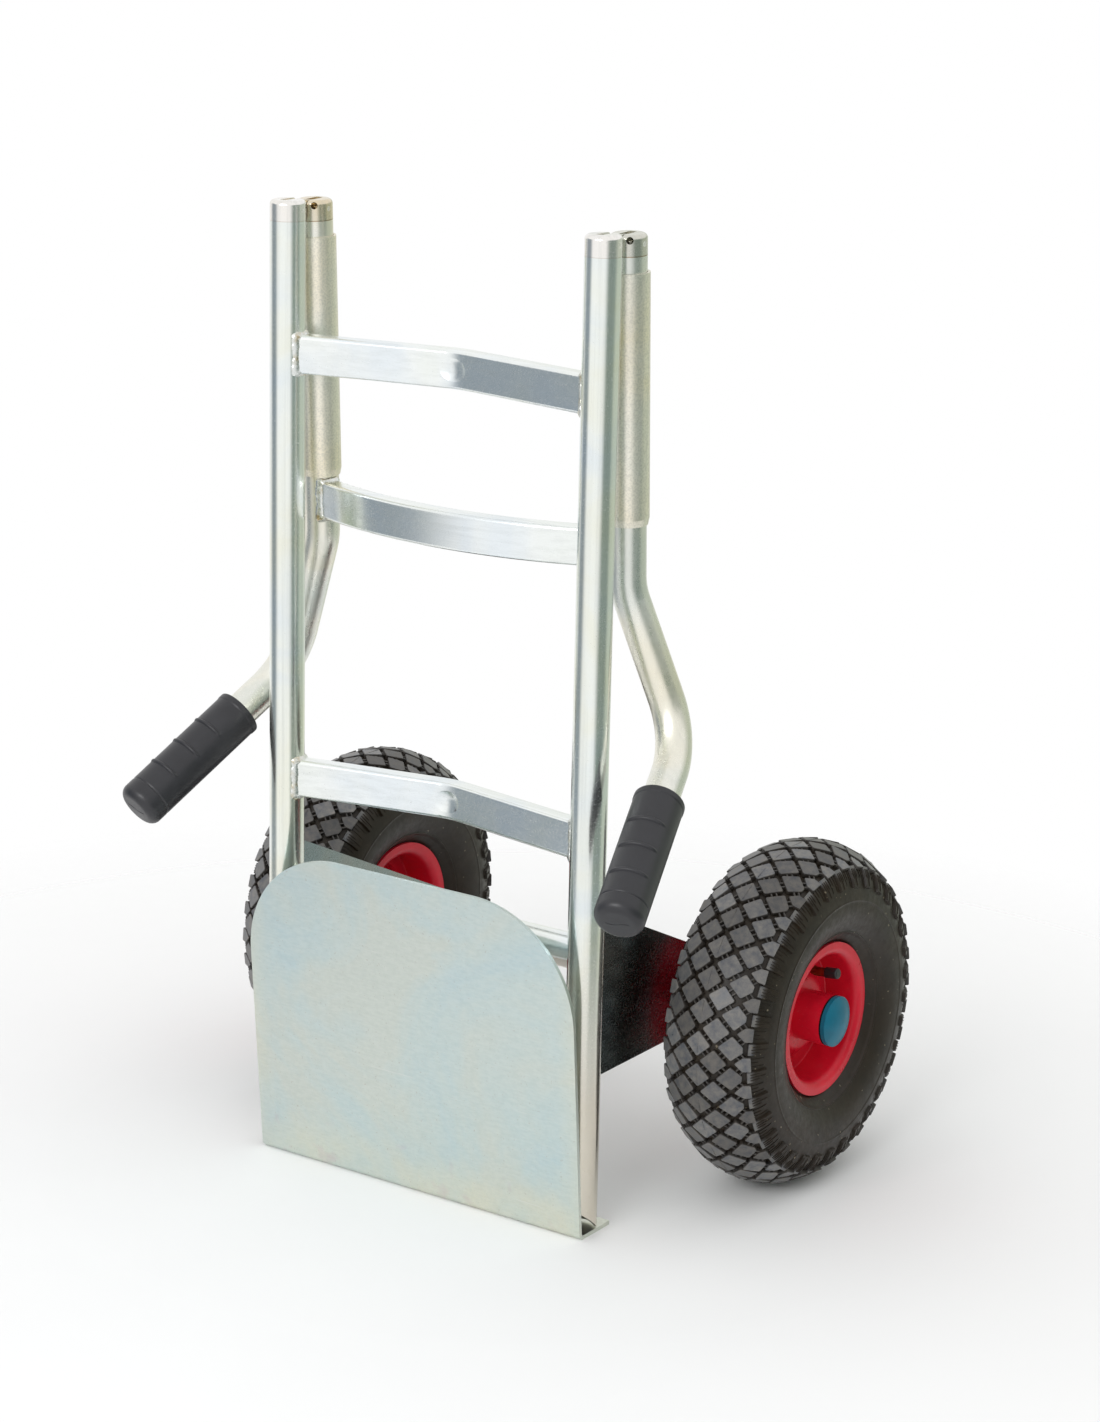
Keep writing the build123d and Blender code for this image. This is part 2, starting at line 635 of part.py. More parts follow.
with BuildPart() as tyre_right:
    shoulder = crown_point(3 * row_angle, CROWN_R)
    bead = RIM_HALF_WIDTH - RIM_SHEET - SIDE_GAP
    widest_r = (RIM_FLANGE_R + shoulder[1]) / 2
    inner_half = TYRE_HALF_WIDTH - TYRE_WALL
    inner_crown = crown_top - TYRE_WALL - TREAD_ROOT
    with BuildSketch(WHEEL_SECTION):
        with BuildLine():
            ThreePointArc((-shoulder[0], shoulder[1]), (0, crown_top), shoulder)
            ThreePointArc(shoulder, (TYRE_HALF_WIDTH, widest_r + 6), (bead, RIM_FLANGE_R + SIDE_GAP))
            Polyline(
                (bead, RIM_FLANGE_R + SIDE_GAP),
                (bead, RIM_SEAT_R + SIDE_GAP + BEAD_CUT),
                (bead - BEAD_CUT, RIM_SEAT_R + SIDE_GAP),
                (bead - TYRE_WALL, RIM_SEAT_R + SIDE_GAP),
                (bead - TYRE_WALL, RIM_FLANGE_R),
            )
            ThreePointArc((bead - TYRE_WALL, RIM_FLANGE_R), (inner_half, widest_r), (0, inner_crown))
            ThreePointArc((0, inner_crown), (-inner_half, widest_r), (TYRE_WALL - bead, RIM_FLANGE_R))
            Polyline(
                (TYRE_WALL - bead, RIM_FLANGE_R),
                (TYRE_WALL - bead, RIM_SEAT_R + SIDE_GAP),
                (BEAD_CUT - bead, RIM_SEAT_R + SIDE_GAP),
                (-bead, RIM_SEAT_R + SIDE_GAP + BEAD_CUT),
                (-bead, RIM_FLANGE_R + SIDE_GAP),
            )
            ThreePointArc(
                (-bead, RIM_FLANGE_R + SIDE_GAP),
                (-TYRE_HALF_WIDTH, widest_r + 6),
                (-shoulder[0], shoulder[1]),
            )
        make_face()
        for side in (1, -1):
            edge = crown_point(edge_angle, CROWN_R + SHOULDER_RISE)
            root = crown_point(edge_angle - SHOULDER_RISE / CROWN_R, CROWN_R)
            foot = (TYRE_HALF_WIDTH, SHOULDER_FOOT_R)
            Polygon(
                (side * (root[0] - TREAD_ROOT), root[1] - TREAD_ROOT),
                (side * root[0], root[1]),
                (side * edge[0], edge[1]),
                (side * foot[0], foot[1]),
                (side * (foot[0] - SHOULDER_STEP - TREAD_ROOT), foot[1] - SHOULDER_STEP / 2),
                align=None,
            )
    revolve(axis=WHEEL_AXIS)
    with BuildSketch(*row_planes):
        Polygon(
            (block_half_length, 0),
            (0, block_half_width),
            (-block_half_length, 0),
            (0, -block_half_width),
            align=None,
        )
    extrude(amount=-TREAD_HEIGHT - TREAD_ROOT)
    for side in (1, -1):
        with BuildSketch(*[tread_plane(side * 3 * row_angle, turn, tread_face) for turn in shoulder_turns]):
            Polygon(
                (block_half_length, 0),
                (0, side * block_half_width),
                (-block_half_length, 0),
                (-cut_half_length, -side * SHOULDER_DROP),
                (cut_half_length, -side * SHOULDER_DROP),
                align=None,
            )
        extrude(amount=-TREAD_HEIGHT - TREAD_ROOT)
made["tyre_right"] = tyre_right
made["tyre_left"] = mirrored(tyre_right)

# Inner tube, pumped up inside the tyre
def tube_outline(inset):
    """Section of the inner tube, drawn in from its outside by an inset."""
    low = INNER_TUBE_R - INNER_TUBE_HALF_HEIGHT + inset
    high = INNER_TUBE_R + INNER_TUBE_HALF_HEIGHT - inset
    half_width = INNER_TUBE_HALF_WIDTH - inset
    with BuildSketch(WHEEL_SECTION) as outline:
        with BuildLine():
            ThreePointArc((0, low), (half_width, INNER_TUBE_R), (0, high))
            ThreePointArc((0, high), (-half_width, INNER_TUBE_R), (0, low))
        make_face()
    return outline.sketch


with BuildPart() as inner_tube_right:
    revolve(tube_outline(0), axis=WHEEL_AXIS)
    revolve(tube_outline(INNER_TUBE_WALL), axis=WHEEL_AXIS, mode=Mode.SUBTRACT)
made["inner_tube_right"] = inner_tube_right
made["inner_tube_left"] = mirrored(inner_tube_right)


def rim_half(side):
    """Pressed half of the rim: a raised centre on the hub, a flat web, the bead seat and its flange."""
    with BuildPart() as half:
        with BuildSketch(WHEEL_SECTION):
            with BuildLine():
                FilletPolyline(
                    (side * RIM_BOSS_OUT, HUB_OD / 2),
                    (side * RIM_BOSS_OUT, RIM_BOSS_R),
                    (0, RIM_WEB_R),
                    (0, RIM_SEAT_R),
                    (side * (RIM_HALF_WIDTH - RIM_SHEET), RIM_SEAT_R),
                    (side * (RIM_HALF_WIDTH - RIM_SHEET), RIM_FLANGE_R),
                    radius=RIM_PRESS_R,
                )
                offset(amount=RIM_SHEET, side=Side.RIGHT if side > 0 else Side.LEFT)
            make_face()
        revolve(axis=WHEEL_AXIS)
    return half


with BuildPart() as rim_outer_right:
    add(rim_half(1).part)
    with BuildSketch(Plane.XY.offset(AXLE_Z + RIM_BOSS_R)):
        with Locations((WHEEL_X + VALVE_OUT, AXLE_Y)):
            Circle(VALVE_D / 2 + SIDE_GAP)
    extrude(amount=RIM_SEAT_R, mode=Mode.SUBTRACT)
made["rim_outer_right"] = rim_outer_right
made["rim_outer_left"] = mirrored(rim_outer_right)

rim_inner_right = rim_half(-1)
made["rim_inner_right"] = rim_inner_right
made["rim_inner_left"] = mirrored(rim_inner_right)

with BuildPart() as hub_right:
    with BuildSketch(Plane.YZ.offset(WHEEL_X)):
        with Locations((AXLE_Y, AXLE_Z)):
            Circle(HUB_OD / 2)
            Circle(HUB_OD / 2 - HUB_WALL, mode=Mode.SUBTRACT)
    extrude(amount=HUB_HALF, both=True)
made["hub_right"] = hub_right
made["hub_left"] = mirrored(hub_right)

# Bushes: one pressed into each end of the hub, with a lip against the hub's face
with BuildPart() as axle_bushes_right:
    with BuildSketch(WHEEL_SECTION):
        Polygon(
            (HUB_HALF - BUSH_DEPTH, AXLE_D / 2 + RUN_GAP),
            (HUB_END, AXLE_D / 2 + RUN_GAP),
            (HUB_END, HUB_OD / 2),
            (HUB_HALF, HUB_OD / 2),
            (HUB_HALF, HUB_OD / 2 - HUB_WALL),
            (HUB_HALF - BUSH_DEPTH, HUB_OD / 2 - HUB_WALL),
            align=None,
        )
    revolve(axis=WHEEL_AXIS)
    mirror(axle_bushes_right.part, about=Plane.YZ.offset(WHEEL_X))
made["axle_bushes_right"] = axle_bushes_right
made["axle_bushes_left"] = mirrored(axle_bushes_right)

# Valve: a bent stem from the inner tube through the rim, then out beside the axle, with its cap
valve_axis = Vector(cos(radians(VALVE_TILT)), 0, sin(radians(VALVE_TILT)))
valve_elbow = WHEEL_CENTRE + Vector(VALVE_OUT, 0, VALVE_R)
valve_tip = valve_elbow + valve_axis * (VALVE_TIP - VALVE_OUT)
with BuildPart() as valve_stem_right:
    with BuildLine() as valve_path:
        FilletPolyline(
            WHEEL_CENTRE + Vector(VALVE_OUT, 0, VALVE_FOOT_R),
            valve_elbow,
            valve_tip - valve_axis * VALVE_CAP_END,
            radius=VALVE_BEND_R,
        )
    with BuildSketch(Plane(valve_path.line @ 0, z_dir=valve_path.line % 0)):
        Circle(VALVE_D / 2)
    sweep(path=valve_path.line)
    add(inner_tube_right.part, mode=Mode.SUBTRACT)
made["valve_stem_right"] = valve_stem_right
made["valve_stem_left"] = mirrored(valve_stem_right)

with BuildPart() as valve_cap_right:
    with BuildSketch(Plane(valve_tip, x_dir=(0, 1, 0), z_dir=valve_axis)):
        Circle(VALVE_CAP_D / 2)
    extrude(amount=-VALVE_CAP_LENGTH)
    fillet(valve_cap_right.faces().sort_by(Axis(valve_tip, valve_axis))[-1].edges(), VALVE_CAP_EDGE_R)
    add(valve_stem_right.part, mode=Mode.SUBTRACT)
made["valve_cap_right"] = valve_cap_right
made["valve_cap_left"] = mirrored(valve_cap_right)

os.makedirs("parts", exist_ok=True)
for name, piece in made.items():
    piece.part.label = name
    export_step(piece.part, f"parts/{name}.step")
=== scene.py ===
import json
from math import atan2, ceil, cos, hypot, pi, radians, sin, sqrt
from random import Random

import bmesh
import bpy
from mathutils import Matrix, Vector


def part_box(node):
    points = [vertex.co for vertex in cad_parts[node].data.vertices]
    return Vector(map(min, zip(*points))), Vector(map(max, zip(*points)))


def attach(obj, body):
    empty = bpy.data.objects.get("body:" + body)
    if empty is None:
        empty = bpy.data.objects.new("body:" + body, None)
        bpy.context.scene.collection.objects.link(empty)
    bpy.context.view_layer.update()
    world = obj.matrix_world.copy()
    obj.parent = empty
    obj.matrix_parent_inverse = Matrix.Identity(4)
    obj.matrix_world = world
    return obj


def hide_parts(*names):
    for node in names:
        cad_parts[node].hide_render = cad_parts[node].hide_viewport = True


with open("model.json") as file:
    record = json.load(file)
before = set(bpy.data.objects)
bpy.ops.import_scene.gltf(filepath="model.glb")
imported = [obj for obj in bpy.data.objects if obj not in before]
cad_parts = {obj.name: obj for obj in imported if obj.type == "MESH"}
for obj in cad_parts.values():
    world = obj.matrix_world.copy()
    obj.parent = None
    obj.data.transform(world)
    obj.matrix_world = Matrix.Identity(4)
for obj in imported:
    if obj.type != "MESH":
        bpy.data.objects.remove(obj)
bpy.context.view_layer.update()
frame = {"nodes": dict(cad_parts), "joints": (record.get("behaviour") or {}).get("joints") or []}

# Metres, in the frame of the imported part: floor at Z 0, toe plate facing -Y, wheels to +Y.

JOINTS = {joint["name"]: joint for joint in frame["joints"]}
TUBE_LOW, TUBE_HIGH = (Vector(corner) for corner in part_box("upright_tube_right"))
TUBE_R = (TUBE_HIGH.x - TUBE_LOW.x) / 2
TUBE_X = (TUBE_HIGH.x + TUBE_LOW.x) / 2

# Photograph's view
VIEW_AZIMUTH = radians(34.325)
VIEW_ELEVATION = radians(15.218)
VIEW_ROLL = radians(1.276)
VIEW_FROM = (1.41766, -1.92979, 1.01881)
LENS_MM = 87.76
SENSOR_MM = 36.0

# Tyre, measured from the wheel's middle plane
WHEEL = Vector(JOINTS["wheel_spin_right"]["pos_m"])
TYRE_LOW, TYRE_HIGH = (Vector(corner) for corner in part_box("tyre_right"))
TYRE_R = (TYRE_HIGH.z - TYRE_LOW.z) / 2
TYRE_HALF_WIDTH = 0.0425
TYRE_WALL = 0.0065
CROWN_WALL = 1.5 * TYRE_WALL
CROWN_R = 0.051
CROWN_STEPS = 12
TREAD_COUNT = 34
OUTER_ROW = 3
TREAD_HEIGHT = 0.004
TREAD_ROW_PITCH = 0.012
TREAD_GROOVE = 0.0032
TREAD_BEVEL = 0.0004
TREAD_ROOT = -0.0010
BLOCK_FOOT_SHARE = 1.06
BLOCK_TOP_SHARE = 0.94
CORNER_SHARES = (0.07, 0.36, 0.64, 0.93)
CORNER_JITTER = 0.0004
LEAN_JITTER = 0.045
OUTER_SHARE = 0.60
OUTER_LEAN = 0.12
TIP_CUT = 0.22
TIE_OFFSET = 0.0018
TIE_WIDTH = 0.0010
TIE_HEIGHT = 0.80 * TREAD_HEIGHT
TIE_OVERLAP = 0.0005
MIDDLE_RIDGE_SHARE = 0.8
MIDDLE_RIDGE_TOP_SHARE = 0.9
MIDDLE_RIDGE_HALF_WIDTH = 0.0003
MIDDLE_RIDGE_SINK = 0.0004
MIDDLE_RIDGE_RISE = 0.00025
TREAD_SEED = 5
TOP_WEAR = (0.50, 1.0)
TOP_WEAR_POWER = 1.4
EDGE_WEAR_SHARE = 0.35
TIE_WEAR = 0.25

# Shoulder of the tyre: stations along the tread are shares of one pitch
SHOULDER_DROP = 0.0015
SHOULDER_RISE = 0.0025
SHOULDER_FOOT_R = 0.102
SHOULDER_STEP = 0.0016
SHOULDER_BULGE = (0.0006, 0.0003)
SHOULDER_POINTS = 8
GAP_RISE = 0.0006
GAP_STATIONS = (0.22, 0.36, 0.5, 0.64, 0.78)
LUG_RISE = 0.0030
LUG_INSET = 0.0004
LUG_STATIONS = (0.0, 0.19, 0.81)
LUG_WEAR = (0.75, 0.75, 0.2)

# Fine shoulder lines: place along the pitch, and how many points of the face they run down
LONG_LINE, SHORT_LINE = 8, 5
LUG_LINES = ((0.0, LONG_LINE), (0.10, SHORT_LINE), (0.90, SHORT_LINE))
GAP_LINES = ((0.36, LONG_LINE), (0.5, SHORT_LINE), (0.64, LONG_LINE))
LINE_HALF_WIDTH = 0.0003
LINE_TOP_SHARE = 0.6
LINE_RISE = 0.0005
LINE_TILT = 0.3
LINE_SINK = (0.0008, 0.0005)

# Wall of the tyre, with the radius, half width and height of each of its rings
WALL_POINTS = 80
WALL_SEARCH_POINTS = 400
WALL_WIDEST_RISE = 0.006
WALL_RINGS = ((0.0915, 0.0007, 0.0004), (0.0665, 0.0010, 0.0007))
RIM_FLANGE_R = 0.0583
BEAD_R = 0.0503
BEAD_X = 0.0282
CAVITY_R = 0.086
CAVITY_POINTS = 12

# Grips
GRIP_BEND = Vector((0.174, 0.055, 0.363))
GRIP_END = Vector((0.213, -0.080, 0.271))
GRIP_LENGTH = 0.110
GRIP_R = 0.018
GRIP_WALL = 0.007
RIDGE_AT = (0.030, 0.053, 0.076)
RIDGE_HALF_WIDTH = 0.0015
RIDGE_HEIGHT = 0.0014
RIDGE_SPAN = radians(50)
RIDGE_TURNS = {"right": radians(0), "left": radians(18)}
RIDGE_FILL = 2.0
RIDGE_ROUNDNESS = 0.6
COLLAR_WIDTH = 0.005
COLLAR_RISE = 0.0004
COLLAR_EDGE = 0.0006
DOME_R = 0.007
DOME_STEPS = 12
END_LINE = 0.015
END_LINE_DEPTH = 0.0005
END_LINE_HALF_WIDTH = 0.0007
END_SWELL = 0.0003
END_SHARES = (0.75, 0.5, 0.25)
BORE_GAP = 0.0001
GRIP_STEP = 0.0005
GRIP_SIDES = 96
MOULD_LINE_REACH = 0.0085
MOULD_LINE_HALF_WIDTH = 0.0003
MOULD_LINE_RISE = 0.0004
MOULD_LINE_SINK = 0.0006
MOULD_LINE_HALF_STEPS = 6
MOULD_WAVE, MOULD_WAVE_PACE, MOULD_WAVE_START = 2.5, 3.1, 0.4

# Bars, hinge caps and weld beads
BAR_HALF_HEIGHT = 0.014
BAR_HALF_DEPTH = 0.007
BAR_CORNER_R = 0.003
FRAME_BAR_TURN = radians(10.5)
HANDLE_BAR_TURN = radians(22.6)
HANDLE_TILT = radians(2.6)
HANDLE_BAR_AT = 0.213
CAP_HEIGHT = 0.015
PIN_DROP = 0.0065
HINGE_SAG = 0.002
WELD_OUT = 0.0019
WELD_ACROSS = 0.0044
WELD_SIDES = 12
WELD_POINTS = 88
WELD_SWELL, WELD_CORNER_SWELL = 0.85, 0.8
FINE_RIPPLE, BROAD_RIPPLE = 0.05, 0.12
BROAD_RIPPLE_PACE, BROAD_RIPPLE_START = 0.31, 1.0
FRAME_RIPPLE_PACES = {"upper_crossbar": 1.1, "lower_crossbar": 1.3}
HANDLE_RIPPLE_PACE = 1.2

# Directions: up, and down along the folded handle's tubes from their hinge pins
UP = Vector((0, 0, 1))
DOWN = Vector((0, sin(HANDLE_TILT), -cos(HANDLE_TILT)))
REAR_PIN = Vector(JOINTS["handle_fold"]["pos_m"])

# Stage: the cards are grey shades that the plated metal mirrors, at bearings in degrees from the front
WHITE = Vector((1.0, 1.0, 1.0))
BLUE_GREY = Vector((0.29, 0.33, 0.365))
GREEN_GREY = Vector((0.25, 0.30, 0.27))
STRAW_GREY = Vector((0.53, 0.58, 0.49))
PALE_GREY = Vector((0.74, 0.77, 0.69))
LEFT_CARD = ((-92, WHITE), (-72, BLUE_GREY), (-46, BLUE_GREY), (-30, WHITE))
BACK_CARD = (
    (50, WHITE),
    (72, GREEN_GREY),
    (108, GREEN_GREY),
    (128, STRAW_GREY),
    (162, STRAW_GREY),
    (180, PALE_GREY),
    (204, PALE_GREY),
    (220, WHITE),
)
CARD_STEPS = 6
CARD_DISTANCE = 3.0

# Rows of a card: height, and how far its shades have faded to white
CARD_ROWS = ((-1.1, 0.0), (1.2, 0.0), (1.6, 1.0))

# Light and floor
ROOM_LIGHT = 0.90
FRONT_LIGHT_PLACE = (0.2, -2.5, 1.6)
FRONT_LIGHT_AIM = (0.0, 0.1, 0.35)
FRONT_LIGHT_SIZE = (1.6, 0.9)
FRONT_LIGHT_WATTS = 26.0
FRONT_LIGHT_COLOUR = (0.98, 0.99, 1.0)
FLOOR_MIDDLE = Vector((0.0, 0.1, 0.0))
FLOOR_R = 0.9
FLOOR_SOLID_R = 0.35
FLOOR_CLEAR_R = 0.98 * FLOOR_R
FLOOR_SIDES = 96
FLOOR_TONES = ((0.955, 0.955, 0.955), (0.975, 0.975, 0.975))

# Colour sockets of Blender's mix node, by number
MIX_AMOUNT, MIX_FIRST, MIX_SECOND, MIX_RESULT = 0, 6, 7, 2


def mesh_piece(name, points, faces, material, crease=35):
    """One mesh piece, smooth except at edges sharper than the crease angle."""
    mesh = bpy.data.meshes.new(name)
    mesh.from_pydata([tuple(point) for point in points], [], faces)
    build = bmesh.new()
    build.from_mesh(mesh)
    bmesh.ops.recalc_face_normals(build, faces=build.faces)
    build.to_mesh(mesh)
    build.free()
    mesh.shade_smooth()
    mesh.set_sharp_from_angle(angle=radians(crease))
    mesh.materials.append(material)
    piece = bpy.data.objects.new(name, mesh)
    bpy.context.collection.objects.link(piece)
    return piece


def mirrored(points, faces):
    return [Vector((-p.x, p.y, p.z)) for p in points], [tuple(reversed(face)) for face in faces]


class Finish:
    """A node material on one Principled shader, with short calls for its textures."""

    def __init__(self, name, **values):
        self.material = bpy.data.materials.new(name)
        self.material.use_nodes = True
        self.nodes = self.material.node_tree.nodes
        self.links = self.material.node_tree.links
        self.shader = self.nodes["Principled BSDF"]
        for socket, value in values.items():
            self.shader.inputs[socket.replace("_", " ")].default_value = value
        self.place = self.nodes.new("ShaderNodeTexCoord").outputs["Object"]
        self.heights = []

    def stretched(self, scale, turn=(0.0, 0.0, 0.0)):
        mapping = self.nodes.new("ShaderNodeMapping")
        mapping.inputs["Scale"].default_value = scale
        mapping.inputs["Rotation"].default_value = turn
        self.links.new(self.place, mapping.inputs["Vector"])
        return mapping.outputs["Vector"]

    def noise(self, scale, detail=4.0, rough=0.55, vector=None, twist=0.0):
        texture = self.nodes.new("ShaderNodeTexNoise")
        texture.inputs["Scale"].default_value = scale
        texture.inputs["Detail"].default_value = detail
        texture.inputs["Roughness"].default_value = rough
        texture.inputs["Distortion"].default_value = twist
        self.links.new(vector or self.place, texture.inputs["Vector"])
        return texture.outputs["Fac"]

    def level(self, direction, start):
        """Distance along a direction from a starting level."""
        node = self.nodes.new("ShaderNodeVectorMath")
        node.operation = "DOT_PRODUCT"
        self.links.new(self.place, node.inputs[0])
        node.inputs[1].default_value = direction
        return self.maths("SUBTRACT", node.outputs["Value"], start)

    def height(self):
        return self.level((0.0, 0.0, 1.0), 0.0)

    def attribute(self, name, output="Fac"):
        node = self.nodes.new("ShaderNodeAttribute")
        node.attribute_name = name
        return node.outputs[output]

    def ramp(self, value, *stops):
        node = self.nodes.new("ShaderNodeValToRGB")
        elements = node.color_ramp.elements
        while len(elements) < len(stops):
            elements.new(0.5)
        for element, (at, colour) in zip(elements, stops):
            element.position = at
            element.color = (*colour, 1.0)
        self.links.new(value, node.inputs["Fac"])
        return node.outputs["Color"]

    def span(self, value, low, high, start=0.0, end=1.0):
        node = self.nodes.new("ShaderNodeMapRange")
        node.inputs["From Min"].default_value = low
        node.inputs["From Max"].default_value = high
        node.inputs["To Min"].default_value = start
        node.inputs["To Max"].default_value = end
        self.links.new(value, node.inputs["Value"])
        return node.outputs["Result"]

    def maths(self, operation, first, second):
        node = self.nodes.new("ShaderNodeMath")
        node.operation = operation
        for socket, value in zip(node.inputs, (first, second)):
            if isinstance(value, (int, float)):
                socket.default_value = value
            else:
                self.links.new(value, socket)
        return node.outputs["Value"]

    def mix(self, amount, first, second, blend="MIX"):
        node = self.nodes.new("ShaderNodeMix")
        node.data_type = "RGBA"
        node.blend_type = blend
        for index, value in ((MIX_AMOUNT, amount), (MIX_FIRST, first), (MIX_SECOND, second)):
            socket = node.inputs[index]
            if isinstance(value, (int, float)):
                socket.default_value = value
            elif isinstance(value, tuple):
                socket.default_value = (*value, 1.0)
            else:
                self.links.new(value, socket)
        return node.outputs[MIX_RESULT]

    def use(self, socket, value):
        self.links.new(value, self.shader.inputs[socket])

    def bump(self, height, strength, distance):
        node = self.nodes.new("ShaderNodeBump")
        node.inputs["Strength"].default_value = strength
        node.inputs["Distance"].default_value = distance
        self.links.new(height, node.inputs["Height"])
        if self.heights:
            self.links.new(self.heights[-1], node.inputs["Normal"])
        self.heights.append(node.outputs["Normal"])
        self.use("Normal", node.outputs["Normal"])


# Colours that the finishes mix in
STREAK_GREY = (0.45, 0.47, 0.45)
SPECK_GREY = (0.30, 0.31, 0.30)
SPANGLE_GREY = (0.40, 0.40, 0.34)
SEAM_BROWN = (0.30, 0.20, 0.10)
STAIN_PINK = (0.50, 0.36, 0.47)
STAIN_STRAW = (0.76, 0.73, 0.58)
SCRATCH_PALE = (0.80, 0.80, 0.78)
SHEET_MOTTLE = (0.44, 0.50, 0.49)
SHEET_WEAVE = (0.82, 0.84, 0.80)
SHEET_SPECK = (0.36, 0.30, 0.24)
ENAMEL_TONES = ((0.58, 0.007, 0.024), (0.72, 0.011, 0.034), (0.66, 0.035, 0.05))
ENAMEL_SPECK = (0.55, 0.25, 0.22)
RUBBER_SPECK = (0.26, 0.22, 0.15)
BRASS_TONES = ((0.14, 0.08, 0.02), (0.40, 0.27, 0.09))
WELD_TONES = ((0.74, 0.76, 0.74), (0.66, 0.65, 0.58), (0.50, 0.40, 0.22))

# Real depth of the finishes' bumps, metres
METAL_DEPTH = 0.0003
GRAIN_DEPTH = 0.0004
PEEL_DEPTH = 0.0005
SCUFF_DEPTH = 0.0008

# Grain of drawn metal: fine across it, long along it
GRAIN_ACROSS, GRAIN_ALONG = 260.0, 4.0

# Heights and half widths where the tints change, metres
LOW_TINT_FROM, LOW_TINT_TO = 0.24, 0.10
STAIN_FROM, STAIN_TO = 0.05, 0.02
MARGIN_FROM, MARGIN_TO = 0.130, 0.146


def scaled(colour, factor):
    return tuple(factor * part for part in colour)


def plated(
    name, grain, tints, rough, streak=0.10, speck=0.10, relief=0.02, spangle=None, joint=None, low_tint=None
):
    """Bright zinc: broad tints, drawing streaks along the grain, small dull specks."""
    finish = Finish(name, Metallic=1.0)
    scale = [GRAIN_ACROSS] * 3
    scale["XYZ".index(grain)] = GRAIN_ALONG
    streaks = finish.noise(1.0, 3.0, vector=finish.stretched(scale))
    clouds = finish.noise(13.0, 3.0, twist=0.6)
    mottle = finish.noise(380.0, 3.0, 0.6)
    specks = finish.span(finish.noise(1000.0, 1.0), 0.66, 0.74)
    blue, silver, warm = tints
    colour = finish.ramp(clouds, (0.36, blue), (0.50, silver), (0.64, warm))
    colour = finish.mix(finish.span(streaks, 0.42, 0.75, 0.0, 3 * streak), colour, STREAK_GREY)
    colour = finish.mix(finish.maths("MULTIPLY", specks, speck), colour, SPECK_GREY)
    if spangle:
        spots = finish.noise(750.0, 2.0, 0.6)
        colour = finish.mix(finish.span(spots, 0.42, 0.62, 0.0, spangle), colour, SPANGLE_GREY)
    if low_tint:
        low = finish.span(finish.height(), LOW_TINT_FROM, LOW_TINT_TO, 0.0, 0.85)
        colour = finish.mix(low, colour, low_tint)
    if joint:
        plane, half, strength = joint
        level = finish.level(*plane)
        edge = finish.span(finish.maths("ABSOLUTE", level, 0.0), half, 1.6 * half, strength, 0.0)
        colour = finish.mix(edge, colour, SEAM_BROWN)
    finish.use("Base Color", colour)
    uneven = finish.span(streaks, 0.3, 0.7, *rough)
    dull = finish.maths("ADD", finish.span(mottle, 0.40, 0.75, 0.0, 0.06), uneven)
    finish.use("Roughness", finish.maths("ADD", dull, finish.maths("MULTIPLY", specks, 0.12)))
    finish.bump(streaks, relief, METAL_DEPTH)
    finish.bump(mottle, relief, METAL_DEPTH)
    return finish.material


def sheet_plated(name, tints, rough):
    """Plated sheet: drifting tints, stains low down and at the sides, fine grain and scratches."""
    finish = Finish(name, Metallic=1.0)
    drift = finish.noise(7.0, 4.0, 0.6, twist=0.8)
    weave = finish.noise(1.0, 2.0, vector=finish.stretched((130.0, 500.0, 500.0)))
    blue, silver, warm = tints
    colour = finish.ramp(drift, (0.40, warm), (0.50, silver), (0.60, blue))
    low = finish.span(finish.height(), STAIN_FROM, STAIN_TO)
    blots = finish.maths("MULTIPLY", low, finish.span(finish.noise(55.0, 2.0), 0.60, 0.72))
    colour = finish.mix(finish.span(blots, 0.0, 1.0, 0.0, 0.45), colour, STAIN_PINK)
    straw = finish.span(finish.maths("MULTIPLY", low, finish.noise(25.0, 3.0)), 0.2, 0.7, 0.0, 0.55)
    sideways = finish.maths("ABSOLUTE", finish.level((1.0, 0.0, 0.0), 0.0), 0.0)
    margin = finish.span(sideways, MARGIN_FROM, MARGIN_TO, 0.0, 0.40)
    colour = finish.mix(finish.maths("MAXIMUM", straw, margin), colour, STAIN_STRAW)
    slanting = finish.stretched((14.0, 14.0, 420.0), (0.0, 0.6, 0.0))
    marks = finish.span(finish.noise(1.0, 1.0, vector=slanting), 0.76, 0.80)
    colour = finish.mix(finish.span(marks, 0.0, 1.0, 0.0, 0.35), colour, SCRATCH_PALE)
    mottle = finish.noise(330.0, 4.0, 0.7)
    colour = finish.mix(finish.span(mottle, 0.35, 0.65, 0.0, 0.16), colour, SHEET_MOTTLE)
    colour = finish.mix(finish.span(weave, 0.35, 0.65, 0.14, 0.0), colour, SHEET_WEAVE)
    specks = finish.span(finish.noise(620.0, 1.0), 0.70, 0.76, 0.0, 0.35)
    finish.use("Base Color", finish.mix(specks, colour, SHEET_SPECK))
    finish.use("Roughness", finish.span(weave, 0.3, 0.7, *rough))
    finish.bump(weave, 0.05, METAL_DEPTH)
    return finish.material


def painted_steel(name):
    """Gloss red enamel with light orange peel and a little road dust."""
    finish = Finish(name, Specular_IOR_Level=0.30)
    peel = finish.noise(260.0, 2.0)
    dust = finish.noise(38.0, 6.0, 0.65)
    deep, red, dusty = ENAMEL_TONES
    colour = finish.ramp(dust, (0.30, deep), (0.62, red), (0.85, dusty))
    specks = finish.span(finish.noise(700.0, 1.0), 0.70, 0.76, 0.0, 0.2)
    finish.use("Base Color", finish.mix(specks, colour, ENAMEL_SPECK))
    finish.use("Roughness", finish.span(dust, 0.3, 0.8, 0.24, 0.42))
    finish.bump(peel, 0.06, PEEL_DEPTH)
    return finish.material


